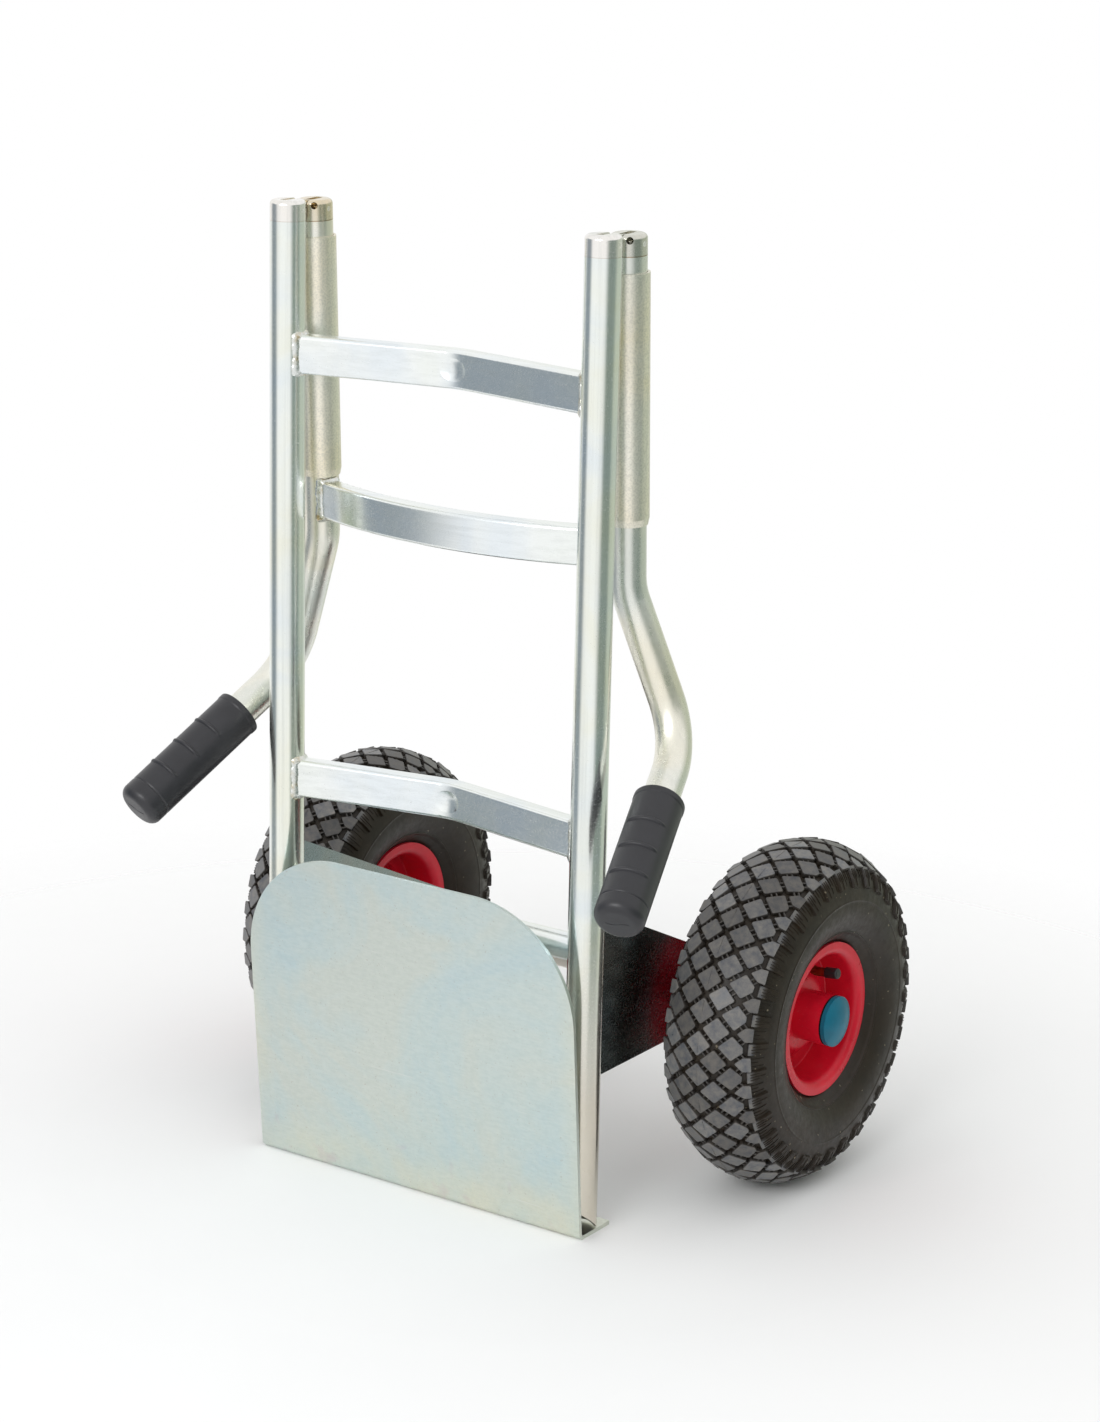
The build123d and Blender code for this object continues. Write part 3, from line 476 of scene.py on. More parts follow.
def rubber(name, dark, worn):
    """Tyre rubber: dusty grey block tops with a painted bluish sheen, dark grooves and walls with pale
    specks.
    """
    finish = Finish(name, Specular_IOR_Level=0.36)
    wear = finish.attribute("wear")
    patches = finish.noise(45.0, 6.0, 0.6)
    scuffs = finish.noise(190.0, 4.0, 0.65)
    grit = finish.noise(700.0, 3.0)
    base = finish.ramp(patches, (0.30, scaled(dark, 0.7)), (0.75, scaled(dark, 1.5)))
    # The worn tops mix warm dust with a cool tint that is a painted bluish sheen
    cool, warm = worn
    dusty = finish.ramp(scuffs, (0.32, cool), (0.70, warm))
    colour = finish.mix(wear, base, dusty)
    specks = finish.span(finish.noise(260.0, 1.0), 0.73, 0.77, 0.0, 0.7)
    specks = finish.maths("MULTIPLY", specks, finish.span(wear, 0.0, 0.3, 1.0, 0.1))
    finish.use("Base Color", finish.mix(specks, colour, RUBBER_SPECK))
    uneven = finish.span(scuffs, 0.3, 0.7, 0.26, 0.46)
    finish.use("Roughness", finish.maths("ADD", uneven, finish.span(wear, 0.0, 1.0, 0.08, 0.0)))
    finish.bump(scuffs, 0.22, SCUFF_DEPTH)
    finish.bump(grit, 0.12, GRAIN_DEPTH)
    return finish.material


def moulded(name, colour, rough=0.5, grain=600.0, depth=0.10, shine=0.5):
    """Moulded plastic or soft rubber: even colour with clouding and fine grain."""
    finish = Finish(name, Specular_IOR_Level=shine)
    clouds = finish.noise(60.0, 4.0)
    fine = finish.noise(grain, 2.0)
    finish.use("Base Color", finish.ramp(clouds, (0.3, scaled(colour, 0.85)), (0.7, scaled(colour, 1.12))))
    finish.use("Roughness", finish.span(clouds, 0.3, 0.7, rough - 0.06, rough + 0.06))
    finish.bump(fine, depth, GRAIN_DEPTH)
    return finish.material


def brass(name):
    """Dull brass with brown tarnish."""
    finish = Finish(name, Metallic=1.0)
    tarnish = finish.noise(150.0, 5.0)
    brown, bright = BRASS_TONES
    finish.use("Base Color", finish.ramp(tarnish, (0.3, brown), (0.7, bright)))
    finish.use("Roughness", finish.span(tarnish, 0.3, 0.7, 0.42, 0.28))
    finish.bump(tarnish, 0.08, GRAIN_DEPTH)
    return finish.material


def weld_metal(name):
    """Plated weld bead with golden heat tint in patches."""
    finish = Finish(name, Metallic=1.0)
    patches = finish.noise(120.0, 4.0)
    grit = finish.noise(700.0, 3.0)
    silver, grey, gold = WELD_TONES
    finish.use("Base Color", finish.ramp(patches, (0.44, silver), (0.56, grey), (0.68, gold)))
    finish.use("Roughness", finish.span(grit, 0.3, 0.7, 0.20, 0.36))
    finish.bump(grit, 0.15, GRAIN_DEPTH)
    return finish.material


# Three tints of each plated finish: cool, middle and warm
TUBE_TINTS = ((0.80, 0.85, 0.86), (0.86, 0.89, 0.845), (0.86, 0.87, 0.77))
HANDLE_TINTS = ((0.76, 0.78, 0.73), (0.84, 0.83, 0.75), (0.84, 0.80, 0.67))
BAR_TINTS = ((0.82, 0.87, 0.90), (0.89, 0.92, 0.91), (0.87, 0.90, 0.86))
SLEEVE_TINTS = ((0.88, 0.86, 0.76), (0.93, 0.88, 0.75), (0.94, 0.87, 0.70))
FRONT_CAP_TINTS = ((0.86, 0.85, 0.84), (0.90, 0.87, 0.82), (0.87, 0.81, 0.73))
REAR_CAP_TINTS = ((0.66, 0.65, 0.58), (0.74, 0.69, 0.58), (0.76, 0.66, 0.48))
PLATE_TINTS = ((0.545, 0.66, 0.675), (0.585, 0.675, 0.66), (0.63, 0.675, 0.625))
BRACKET_TINTS = ((0.24, 0.30, 0.31), (0.28, 0.32, 0.31), (0.30, 0.30, 0.27))
TUBE_LOW_TINT = (0.66, 0.60, 0.50)

RUBBER_DARK = (0.018, 0.012, 0.0065)
# Worn tops of the rubber: a cool tint that is a painted bluish sheen, and a warm tint that is dust
RUBBER_DUST_AND_SHEEN = ((0.115, 0.124, 0.142), (0.260, 0.244, 0.224))

# Lower edges of the hinge caps: direction of the tube, level along it
FRONT_SEAM = ((0.0, 0.0, 1.0), REAR_PIN.z + HINGE_SAG + PIN_DROP - CAP_HEIGHT)
REAR_SEAM = (tuple(-DOWN), -DOWN.dot(REAR_PIN) + PIN_DROP - CAP_HEIGHT)

ZINC_TUBE = plated("zinc_tube", "Z", TUBE_TINTS, (0.15, 0.22), low_tint=TUBE_LOW_TINT)
ZINC_HANDLE = plated(
    "zinc_handle", "Z", HANDLE_TINTS, (0.24, 0.32), streak=0.05, speck=0.05, relief=0.006
)
ZINC_BAR = plated("zinc_bar", "X", BAR_TINTS, (0.17, 0.24), streak=0.06, speck=0.08, relief=0.012)
ZINC_SLEEVE = plated(
    "zinc_sleeve", "Z", SLEEVE_TINTS, (0.32, 0.42), speck=0.05, relief=0.04, spangle=0.30
)
FRONT_CAP_STEEL = plated(
    "front_cap_steel", "Z", FRONT_CAP_TINTS, (0.14, 0.22), joint=(FRONT_SEAM, 0.0004, 0.25)
)
REAR_CAP_STEEL = plated(
    "rear_cap_steel", "Z", REAR_CAP_TINTS, (0.16, 0.26), joint=(REAR_SEAM, 0.0005, 0.75)
)
HINGE_STEEL = plated("hinge_steel", "Y", REAR_CAP_TINTS, (0.20, 0.32))
BRACKET_STEEL = plated(
    "bracket_steel", "Y", BRACKET_TINTS, (0.22, 0.26), streak=0.02, speck=0.02, relief=0.002
)
PLATE_STEEL = sheet_plated("plate_steel", PLATE_TINTS, (0.36, 0.46))
PIN_STEEL = plated("pin_steel", "X", FRONT_CAP_TINTS, (0.22, 0.32))
WELD = weld_metal("weld_metal")
RIM_PAINT = painted_steel("rim_paint")
TYRE_RUBBER = rubber("tyre_rubber", RUBBER_DARK, RUBBER_DUST_AND_SHEEN)
GRIP_RUBBER = moulded("grip_rubber", (0.022, 0.022, 0.026), 0.38, shine=0.50)
TUBE_RUBBER = moulded("inner_tube_rubber", (0.020, 0.020, 0.020), 0.6)
# The bush is near black as painted shade, standing in for the shadow line between hub and hub cap
BUSH_SHADE_BLACK = moulded("bush_plastic", (0.006, 0.005, 0.005), 0.6, shine=0.15)
HUB_CAP_PLASTIC = moulded("hub_cap_plastic", (0.005, 0.150, 0.235), 0.36, depth=0.03, shine=0.30)
VALVE_CAP_PLASTIC = moulded("valve_cap_plastic", (0.012, 0.012, 0.013), 0.40, depth=0.05)
BRASS = brass("valve_brass")

LOOKS = {
    "zinc_tube": ZINC_TUBE,
    "zinc_bar": ZINC_BAR,
    "hinge_steel": HINGE_STEEL,
    "bracket_steel": BRACKET_STEEL,
    "weld": WELD,
    "pin_steel": PIN_STEEL,
    "toe_plate": PLATE_STEEL,
    "grip": GRIP_RUBBER,
    "rim_paint": RIM_PAINT,
    "tyre": TYRE_RUBBER,
    "inner_tube": TUBE_RUBBER,
    "bush_plastic": BUSH_SHADE_BLACK,
    "hub_cap": HUB_CAP_PLASTIC,
    "valve_brass": BRASS,
    "valve_cap": VALVE_CAP_PLASTIC,
}
SPECIAL_LOOKS = {
    "lock_sleeve": ZINC_SLEEVE,
    "handle_tube": ZINC_HANDLE,
    "upright_cap": FRONT_CAP_STEEL,
    "handle_cap": REAR_CAP_STEEL,
}
for name, node in frame["nodes"].items():
    kind = name.removesuffix("_left").removesuffix("_right")
    node.data.materials[0] = SPECIAL_LOOKS.get(kind) or LOOKS[node.material_slots[0].name]


def arc_through(first, middle, last, count):
    """Points along the circle arc from the first through the middle to the last, ends included."""
    (ax, ay), (bx, by), (cx, cy) = first, middle, last
    twist = 2 * (ax * (by - cy) + bx * (cy - ay) + cx * (ay - by))
    squares = (ax * ax + ay * ay, bx * bx + by * by, cx * cx + cy * cy)
    x = (squares[0] * (by - cy) + squares[1] * (cy - ay) + squares[2] * (ay - by)) / twist
    y = (squares[0] * (cx - bx) + squares[1] * (ax - cx) + squares[2] * (bx - ax)) / twist
    radius = sqrt((ax - x) ** 2 + (ay - y) ** 2)
    start = atan2(ay - y, ax - x)
    sweep = atan2(cy - y, cx - x) - start
    if twist < 0 and sweep > 0:
        sweep -= 2 * pi
    if twist > 0 and sweep < 0:
        sweep += 2 * pi
    turns = [start + sweep * step / (count - 1) for step in range(count)]
    return [(x + radius * cos(turn), y + radius * sin(turn)) for turn in turns]


def loft(rings, closed=True):
    """Points and quads through rings of equal length, the last joined to the first where closed."""
    size = len(rings[0])
    points = [point for ring in rings for point in ring]
    faces = []
    for row in range(len(rings) if closed else len(rings) - 1):
        low = row * size
        high = ((row + 1) % len(rings)) * size
        for step in range(size):
            after = (step + 1) % size
            faces.append((low + step, low + after, high + after, high + step))
    return points, faces


def fan(low, size, tip):
    """Triangles from a ring of points to a tip, by index."""
    return [(low + step, low + (step + 1) % size, tip) for step in range(size)]


def strip(rings):
    """A bar through rings of four corners, closed at both ends."""
    points, faces = loft(rings, closed=False)
    last = len(points) - 4
    return points, faces + [(3, 2, 1, 0), (last, last + 1, last + 2, last + 3)]


def joined(*parts):
    """Several lists of points and faces as one."""
    points, faces = [], []
    for more_points, more_faces in parts:
        start = len(points)
        points += more_points
        faces += [tuple(start + corner for corner in face) for face in more_faces]
    return points, faces


# Tyre: a revolved carcass with shoulder lugs and ringed walls, diamond blocks tied by thin bars

CROWN_TOP = TYRE_R - TREAD_HEIGHT
CROWN_CENTRE = CROWN_TOP - CROWN_R
ROW_ANGLE = TREAD_ROW_PITCH / CROWN_R
OUTER_ANGLE = OUTER_ROW * ROW_ANGLE
EDGE_ANGLE = OUTER_ANGLE + SHOULDER_DROP / CROWN_R
ROOT_ANGLE = EDGE_ANGLE - SHOULDER_RISE / CROWN_R
HALF_PITCH = pi * CROWN_TOP / TREAD_COUNT
EDGE_DISTANCE = HALF_PITCH * TREAD_ROW_PITCH / hypot(HALF_PITCH, TREAD_ROW_PITCH)
BLOCK_SHRINK = 1 - TREAD_GROOVE / (2 * EDGE_DISTANCE)
BLOCK_LENGTH = HALF_PITCH * BLOCK_SHRINK
BLOCK_WIDTH = TREAD_ROW_PITCH * BLOCK_SHRINK
TIP_RISE = BLOCK_LENGTH**2 / (2 * TYRE_R)


def wheel_point(across, out, turn):
    return WHEEL + Vector((across, out * sin(turn), out * cos(turn)))


def crown_point(angle, height=0.0):
    reach = CROWN_R + height
    return (reach * sin(angle), CROWN_CENTRE + reach * cos(angle))


def wall_arc(count):
    """Half section of the bare wall from the tread's edge to the rim."""
    top = crown_point(OUTER_ANGLE)
    widest = (TYRE_HALF_WIDTH, (RIM_FLANGE_R + top[1]) / 2 + WALL_WIDEST_RISE)
    return arc_through(top, widest, (BEAD_X, RIM_FLANGE_R), count)


def shoulder_face(lug):
    """Half section of a shoulder lug, or of the gap between two, from the tread down to its foot."""
    edge, foot = crown_point(EDGE_ANGLE, SHOULDER_RISE), (TYRE_HALF_WIDTH, SHOULDER_FOOT_R)
    if not lug:
        edge = crown_point(EDGE_ANGLE, GAP_RISE)
        foot = min(wall_arc(WALL_SEARCH_POINTS), key=lambda point: abs(point[1] - SHOULDER_FOOT_R))
    middle = tuple((high + low) / 2 + bulge for high, low, bulge in zip(edge, foot, SHOULDER_BULGE))
    inner = crown_point(ROOT_ANGLE + LUG_INSET / CROWN_R, LUG_RISE if lug else LUG_INSET)
    return [inner] + arc_through(edge, middle, foot, SHOULDER_POINTS)


def sidewall():
    """Half section of the wall from the shoulder's foot to the rim, with thin raised rings."""
    below = [point for point in wall_arc(WALL_POINTS) if point[1] < SHOULDER_FOOT_R - SHOULDER_STEP / 2]
    raised = []
    for across, out in below:
        swell = sum(height * max(0.0, 1 - ((out - at) / half) ** 4) for at, half, height in WALL_RINGS)
        raised.append((across + swell, out))
    return raised


def carcass():
    """Closed section turned about the axle, with lugs and gaps along both shoulders, and how worn it is."""
    crown = [crown_point(ROOT_ANGLE * step / CROWN_STEPS) for step in range(-CROWN_STEPS, CROWN_STEPS + 1)]
    rim_edge = [(BEAD_X, BEAD_R), (BEAD_X - TYRE_WALL, BEAD_R)]
    cavity = arc_through(
        (BEAD_X - TYRE_WALL, RIM_FLANGE_R),
        (TYRE_HALF_WIDTH - TYRE_WALL, CAVITY_R),
        (0, CROWN_TOP - CROWN_WALL),
        CAVITY_POINTS,
    )
    sections = {}
    for lug in (True, False):
        half = shoulder_face(lug) + sidewall() + rim_edge + cavity
        sections[lug] = crown + half + [(-across, out) for across, out in reversed(half[:-1])]
    rings, wear = [], []
    for place in range(TREAD_COUNT):
        for share in sorted(LUG_STATIONS + GAP_STATIONS):
            turn = (place + share) * 2 * pi / TREAD_COUNT
            section = sections[share in LUG_STATIONS]
            rings.append([wheel_point(across, out, turn) for across, out in section])
            worn = [0.0] * len(section)
            if share in LUG_STATIONS:
                for step, amount in enumerate(LUG_WEAR):
                    worn[len(crown) + step] = worn[-1 - step] = amount
            wear += worn
    return loft(rings), wear


def tread_point(offset, row, turn, height):
    """A place on the crown: round the tyre and across it from the middle of a block, then out."""
    across, out = crown_point(row * ROW_ANGLE + offset.y / CROWN_R, height)
    return wheel_point(across, out, turn + offset.x / CROWN_TOP)


def raised_block(outline, row, turn, levels, lean):
    """A closed block over an outline on the crown: each level grows the outline and sets its height."""
    middle = sum(outline, Vector((0, 0))) / len(outline)
    rings = []
    for grow, height in levels:
        ring = []
        for offset in ((corner - middle) * grow for corner in outline):
            flat = offset.x**2 / (2 * TYRE_R) + offset.y**2 / (2 * CROWN_R) - TIP_RISE
            rise = flat + offset.dot(lean) if height > 0 else 0.0
            ring.append(tread_point(middle + offset, row, turn, height + rise))
        rings.append(ring)
    points, faces = loft(rings, closed=False)
    size = len(outline)
    points.append(tread_point(middle, row, turn, levels[-1][1] - TIP_RISE))
    faces += fan((len(levels) - 1) * size, size, len(points) - 1)
    faces.append(tuple(range(size)))
    return points, faces


def outline_of(corners):
    """The outline with points along each edge to follow the crown, its corners rubbed off."""
    outline = []
    for first, last in zip(corners, corners[1:] + corners[:1]):
        outline += [first.lerp(last, share) for share in CORNER_SHARES]
    return outline


def block_outline(row):
    """A diamond: whole near the middle, blunt towards the lugs in the next row, cut short in the last."""
    length, width = BLOCK_LENGTH, BLOCK_WIDTH
    if abs(row) < OUTER_ROW - 1:
        return [Vector((length, 0)), Vector((0, width)), Vector((-length, 0)), Vector((0, -width))]
    side = 1 if row > 0 else -1
    if abs(row) < OUTER_ROW:
        wide, inner = length, 0
        narrow, outer = TIP_CUT * length, (1 - TIP_CUT) * side * width
    else:
        wide, inner = OUTER_SHARE * length, (OUTER_SHARE - 1) * side * width
        narrow, outer = wide, side * SHOULDER_DROP
    return [
        Vector((wide, inner)),
        Vector((narrow, outer)),
        Vector((-narrow, outer)),
        Vector((-wide, inner)),
        Vector((0, -side * width)),
    ]


def tie_outlines():
    """Thin bars across the two grooves on the outer side of a block, two to each groove."""
    outlines = []
    for side in (1, -1):
        along = Vector((-side * BLOCK_LENGTH, BLOCK_WIDTH)).normalized()
        out = Vector((side * BLOCK_WIDTH, BLOCK_LENGTH)).normalized()
        middle = Vector((side * BLOCK_LENGTH, BLOCK_WIDTH)) / 2
        for shift in (-TIE_OFFSET, TIE_OFFSET):
            near = middle + along * shift - out * TIE_OVERLAP
            far = middle + along * shift + out * (TREAD_GROOVE + TIE_OVERLAP)
            half = along * TIE_WIDTH / 2
            outlines.append([near - half, near + half, far + half, far - half])
    return outlines


def tread():
    """Blocks, ties and centre ridges, with how worn each point is."""
    chance = Random(TREAD_SEED)
    block_levels = (
        (BLOCK_FOOT_SHARE, TREAD_ROOT),
        (1.0, TREAD_HEIGHT - TREAD_BEVEL),
        (BLOCK_TOP_SHARE, TREAD_HEIGHT),
    )
    tie_levels = ((1.0, TREAD_ROOT), (1.0, TIE_HEIGHT))
    ridge_levels = (
        (1.0, TREAD_HEIGHT - MIDDLE_RIDGE_SINK),
        (MIDDLE_RIDGE_TOP_SHARE, TREAD_HEIGHT + MIDDLE_RIDGE_RISE),
    )
    ridge_length = MIDDLE_RIDGE_SHARE * BLOCK_LENGTH
    ridge_signs = ((1, -1), (1, 1), (-1, 1), (-1, -1))
    ridge = [Vector((x * ridge_length, y * MIDDLE_RIDGE_HALF_WIDTH)) for x, y in ridge_signs]
    parts, wear = [], []

    def jitter(reach):
        return Vector((chance.uniform(-reach, reach), chance.uniform(-reach, reach)))

    def add(outline, row, turn, levels, top, lean=Vector((0, 0))):
        part = raised_block(outline, row, turn, levels, lean)
        size = len(outline)
        parts.append(part)
        wear.extend([0.0] * size * (len(levels) - 2) + [EDGE_WEAR_SHARE * top] * size + [top] * (size + 1))

    for place in range(TREAD_COUNT):
        for row in range(-OUTER_ROW, OUTER_ROW + 1):
            turn = (place + (row % 2) / 2) * 2 * pi / TREAD_COUNT
            top = chance.uniform(*TOP_WEAR) ** TOP_WEAR_POWER
            corners = [corner + jitter(CORNER_JITTER) for corner in block_outline(row)]
            lean = jitter(LEAN_JITTER)
            if abs(row) == OUTER_ROW:
                lean.y += OUTER_LEAN * row / OUTER_ROW
            add(outline_of(corners), row, turn, block_levels, top, lean)
            if row < OUTER_ROW:
                for outline in tie_outlines():
                    add(outline, row, turn, tie_levels, TIE_WEAR)
            if row == 0:
                add(outline_of(ridge), row, turn, ridge_levels, top)
    return joined(*parts), wear


def shoulder_line(side, place, reach, lug):
    """A fine raised line down a lug's face or a gap's, as far as its reach."""
    turn = place * 2 * pi / TREAD_COUNT
    half = LINE_HALF_WIDTH / SHOULDER_FOOT_R
    top_half = half * LINE_TOP_SHARE
    face = shoulder_face(lug)[1 : reach + 1]
    rings = []
    for step, (across, out) in enumerate(face):
        rise = LINE_RISE if step < len(face) - 1 else 0.0
        foot = (side * (across - LINE_SINK[0]), out - LINE_SINK[1])
        top = (side * (across + rise), out + LINE_TILT * rise)
        rings.append([
            wheel_point(*foot, turn - half),
            wheel_point(*top, turn - top_half),
            wheel_point(*top, turn + top_half),
            wheel_point(*foot, turn + half),
        ])
    return strip(rings)


lines = []
for number in range(TREAD_COUNT):
    for places, lug in ((LUG_LINES, True), (GAP_LINES, False)):
        for share, reach in places:
            lines += [shoulder_line(side, number + share, reach, lug) for side in (1, -1)]
carcass_part, carcass_wear = carcass()
plain_part = joined(carcass_part, *lines)
plain_wear = carcass_wear + [0.0] * (len(plain_part[0]) - len(carcass_wear))
tread_part, tread_wear = tread()
tyre_part = joined(plain_part, tread_part)
for side, (points, faces) in (("right", tyre_part), ("left", mirrored(*tyre_part))):
    tyre = mesh_piece("treaded_tyre_" + side, points, faces, TYRE_RUBBER, crease=30)
    wear = tyre.data.attributes.new("wear", "FLOAT", "POINT")
    wear.data.foreach_set("value", plain_wear + tread_wear)
    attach(tyre, "wheel_" + side)
    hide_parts("tyre_" + side)


# Grips: a turned body with three raised crescents on the upper side, a collar and a domed end

GRIP_AXIS = (GRIP_END - GRIP_BEND).normalized()
GRIP_UP = (UP - GRIP_AXIS * GRIP_AXIS.z).normalized()
GRIP_SIDE = GRIP_AXIS.cross(GRIP_UP)


def grip_radius(along, around, ridge_turn):
    """Distance of the grip's skin from its axis at a place along and around it."""
    radius = GRIP_R
    if along < COLLAR_WIDTH:
        radius += COLLAR_RISE * min(1.0, along / COLLAR_EDGE, (COLLAR_WIDTH - along) / COLLAR_EDGE)
    from_end = GRIP_LENGTH - along
    if from_end < DOME_R:
        radius -= DOME_R - sqrt(max(0.0, DOME_R**2 - (DOME_R - from_end) ** 2))
    radius -= END_LINE_DEPTH * max(0.0, 1 - ((from_end - END_LINE) / END_LINE_HALF_WIDTH) ** 2)
    reach = max(0.0, (cos(around - ridge_turn) - cos(RIDGE_SPAN)) / (1 - cos(RIDGE_SPAN)))
    fullness = min(1.0, RIDGE_FILL * reach) ** RIDGE_ROUNDNESS
    for at in RIDGE_AT:
        offset = (along - at) / (RIDGE_HALF_WIDTH * (0.5 + 0.5 * fullness))
        radius += RIDGE_HEIGHT * fullness * max(0.0, 1 - offset**2) ** RIDGE_ROUNDNESS
    return radius


def grip_middle(along):
    return GRIP_END - GRIP_AXIS * (GRIP_LENGTH - along)


def grip_ring(along, radius_at):
    middle = grip_middle(along)
    ring = []
    for step in range(GRIP_SIDES):
        around = 2 * pi * step / GRIP_SIDES
        out = GRIP_UP * cos(around) + GRIP_SIDE * sin(around)
        ring.append(middle + out * radius_at(around))
    return ring


def grip_body(ridge_turn):
    """The grip's closed skin, from the blind end of its bore back to its mouth and over the outside."""
    straight, bore_end = GRIP_LENGTH - DOME_R, GRIP_LENGTH - GRIP_WALL
    stations = [GRIP_STEP * step for step in range(ceil(straight / GRIP_STEP))]
    stations += [straight + DOME_R * sin(pi / 2 * step / DOME_STEPS) for step in range(DOME_STEPS + 1)]
    bore = TUBE_R + BORE_GAP
    rings = [grip_ring(bore_end, lambda around: 0.5 * bore)]
    rings.append(grip_ring(bore_end, lambda around: bore))
    rings.append(grip_ring(0.0, lambda around: bore))
    for along in stations:
        rings.append(grip_ring(along, lambda around, along=along: grip_radius(along, around, ridge_turn)))
    for share in END_SHARES:
        flat = share * (GRIP_R - DOME_R)
        rings.append(grip_ring(GRIP_LENGTH + END_SWELL * (1 - share), lambda around, flat=flat: flat))
    points, faces = loft(rings, closed=False)
    for along, low in ((bore_end, 0), (GRIP_LENGTH + END_SWELL, len(points) - GRIP_SIDES)):
        points.append(grip_middle(along))
        faces += fan(low, GRIP_SIDES, len(points) - 1)
    return joined((points, faces), mould_line(ridge_turn))


def mould_line(ridge_turn):
    """Thin flash line left by the mould across the grip's end."""
    turn = ridge_turn + pi / 2
    across = (GRIP_UP * cos(turn) + GRIP_SIDE * sin(turn)) * MOULD_LINE_REACH
    wide = GRIP_AXIS.cross(across).normalized() * MOULD_LINE_HALF_WIDTH
    sink = GRIP_AXIS * MOULD_LINE_SINK
    rings = []
    for step in range(2 * MOULD_LINE_HALF_STEPS + 1):
        share = step / MOULD_LINE_HALF_STEPS - 1
        wave = wide * MOULD_WAVE * sin(MOULD_WAVE_PACE * share + MOULD_WAVE_START)
        middle = GRIP_END + across * share + wave
        rise = GRIP_AXIS * MOULD_LINE_RISE * (1 - 0.5 * share**4)
        rings.append([
            middle - wide - sink,
            middle + wide - sink,
            middle + wide + rise,
            middle - wide + rise,
        ])
    return strip(rings)


for side in ("right", "left"):
    grip_part = grip_body(RIDGE_TURNS[side])
    points, faces = grip_part if side == "right" else mirrored(*grip_part)
    grip = mesh_piece("ridged_grip_" + side, points, faces, GRIP_RUBBER, crease=50)
    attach(grip, "handle")
    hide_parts("grip_" + side)


# Weld beads: rippled ropes laid round the ends of the bars on the tubes

def bead(path, normal_at, swell_at, ripple):
    """A closed bead along a path, pressed into the corner, its thickness rippling from drop to drop."""
    rings = []
    count = len(path)
    for step, point in enumerate(path):
        along = (path[(step + 1) % count] - path[step - 1]).normalized()
        out = normal_at[step]
        out = (out - along * out.dot(along)).normalized()
        side = along.cross(out)
        pace = step * ripple
        drop = swell_at[step] + FINE_RIPPLE * sin(pace)
        drop += BROAD_RIPPLE * sin(pace * BROAD_RIPPLE_PACE + BROAD_RIPPLE_START)
        rings.append([
            point + (out * WELD_OUT * cos(turn) + side * WELD_ACROSS * sin(turn)) * drop
            for turn in (2 * pi * corner / WELD_SIDES for corner in range(WELD_SIDES))
        ])
    return loft(rings)


def bar_outline(count):
    """Points round the bar's rounded section, up and then across, evenly spaced."""
    straight = (2 * (BAR_HALF_HEIGHT - BAR_CORNER_R), 2 * (BAR_HALF_DEPTH - BAR_CORNER_R))
    corner = BAR_CORNER_R * pi / 2
    lengths = (straight[0], corner, straight[1], corner) * 2
    outline = []
    for step in range(count):
        travel = step * sum(lengths) / count
        number = 0
        while travel > lengths[number]:
            travel -= lengths[number]
            number += 1
        side = number // 2
        turned = side * pi / 2
        reach = (BAR_HALF_DEPTH, BAR_HALF_HEIGHT)[side % 2] - BAR_CORNER_R
        run = (BAR_HALF_HEIGHT, BAR_HALF_DEPTH)[side % 2] - BAR_CORNER_R
        if number % 2:
            angle = turned + travel / BAR_CORNER_R
            local = (reach + BAR_CORNER_R * cos(angle - turned), run + BAR_CORNER_R * sin(angle - turned))
        else:
            angle = turned
            local = (reach + BAR_CORNER_R, travel - run)
        outline.append((
            local[0] * sin(turned) + local[1] * cos(turned),
            local[0] * cos(turned) - local[1] * sin(turned),
            sin(angle),
            cos(angle),
        ))
    return outline


def bar_bead(foot, inward, sideways, upward, ripple):
    """Bead where a bar's end meets a tube: foot on the tube's axis, inward along the bar."""
    path, normals, swells = [], [], []
    for up, across, up_out, across_out in bar_outline(WELD_POINTS):
        path.append(foot + inward * sqrt(TUBE_R**2 - across**2) + sideways * across + upward * up)
        normals.append(inward + sideways * across_out + upward * up_out)
        swells.append(WELD_SWELL + WELD_CORNER_SWELL * abs(up_out * across_out))
    return bead(path, normals, swells, ripple)


inward = Vector((-cos(FRAME_BAR_TURN), sin(FRAME_BAR_TURN), 0))
frame_beads = []
for node, ripple in FRAME_RIPPLE_PACES.items():
    low, high = (Vector(corner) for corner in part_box(node))
    foot = Vector((TUBE_X, 0, (low.z + high.z) / 2))
    frame_beads.append(bar_bead(foot, inward, UP.cross(inward), UP, ripple))
frame_beads += [mirrored(*part) for part in frame_beads]
points, faces = joined(*frame_beads)
welds = mesh_piece("frame_weld_beads", points, faces, WELD, crease=80)
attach(welds, "frame")
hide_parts("frame_welds")

FORWARD = DOWN.cross(Vector((1, 0, 0)))
foot = Vector((TUBE_X, 0, 0)) + REAR_PIN + DOWN * HANDLE_BAR_AT
inward = Vector((-cos(HANDLE_BAR_TURN), 0, 0)) + FORWARD * sin(HANDLE_BAR_TURN)
handle_bead = bar_bead(foot, inward, -DOWN.cross(inward), -DOWN, HANDLE_RIPPLE_PACE)
points, faces = joined(handle_bead, mirrored(*handle_bead))
welds = mesh_piece("handle_weld_beads", points, faces, WELD, crease=80)
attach(welds, "handle")
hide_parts("handle_welds")


# Floor, light and camera

def lamp(name, place, target, size, power, colour):
    light = bpy.data.lights.new(name, "AREA")
    light.shape = "RECTANGLE"
    light.size, light.size_y = size
    light.energy = power
    light.color = colour
    holder = bpy.data.objects.new(name, light)
    bpy.context.collection.objects.link(holder)
    holder.location = place
    holder.rotation_euler = (Vector(target) - Vector(place)).to_track_quat("-Z", "Y").to_euler()


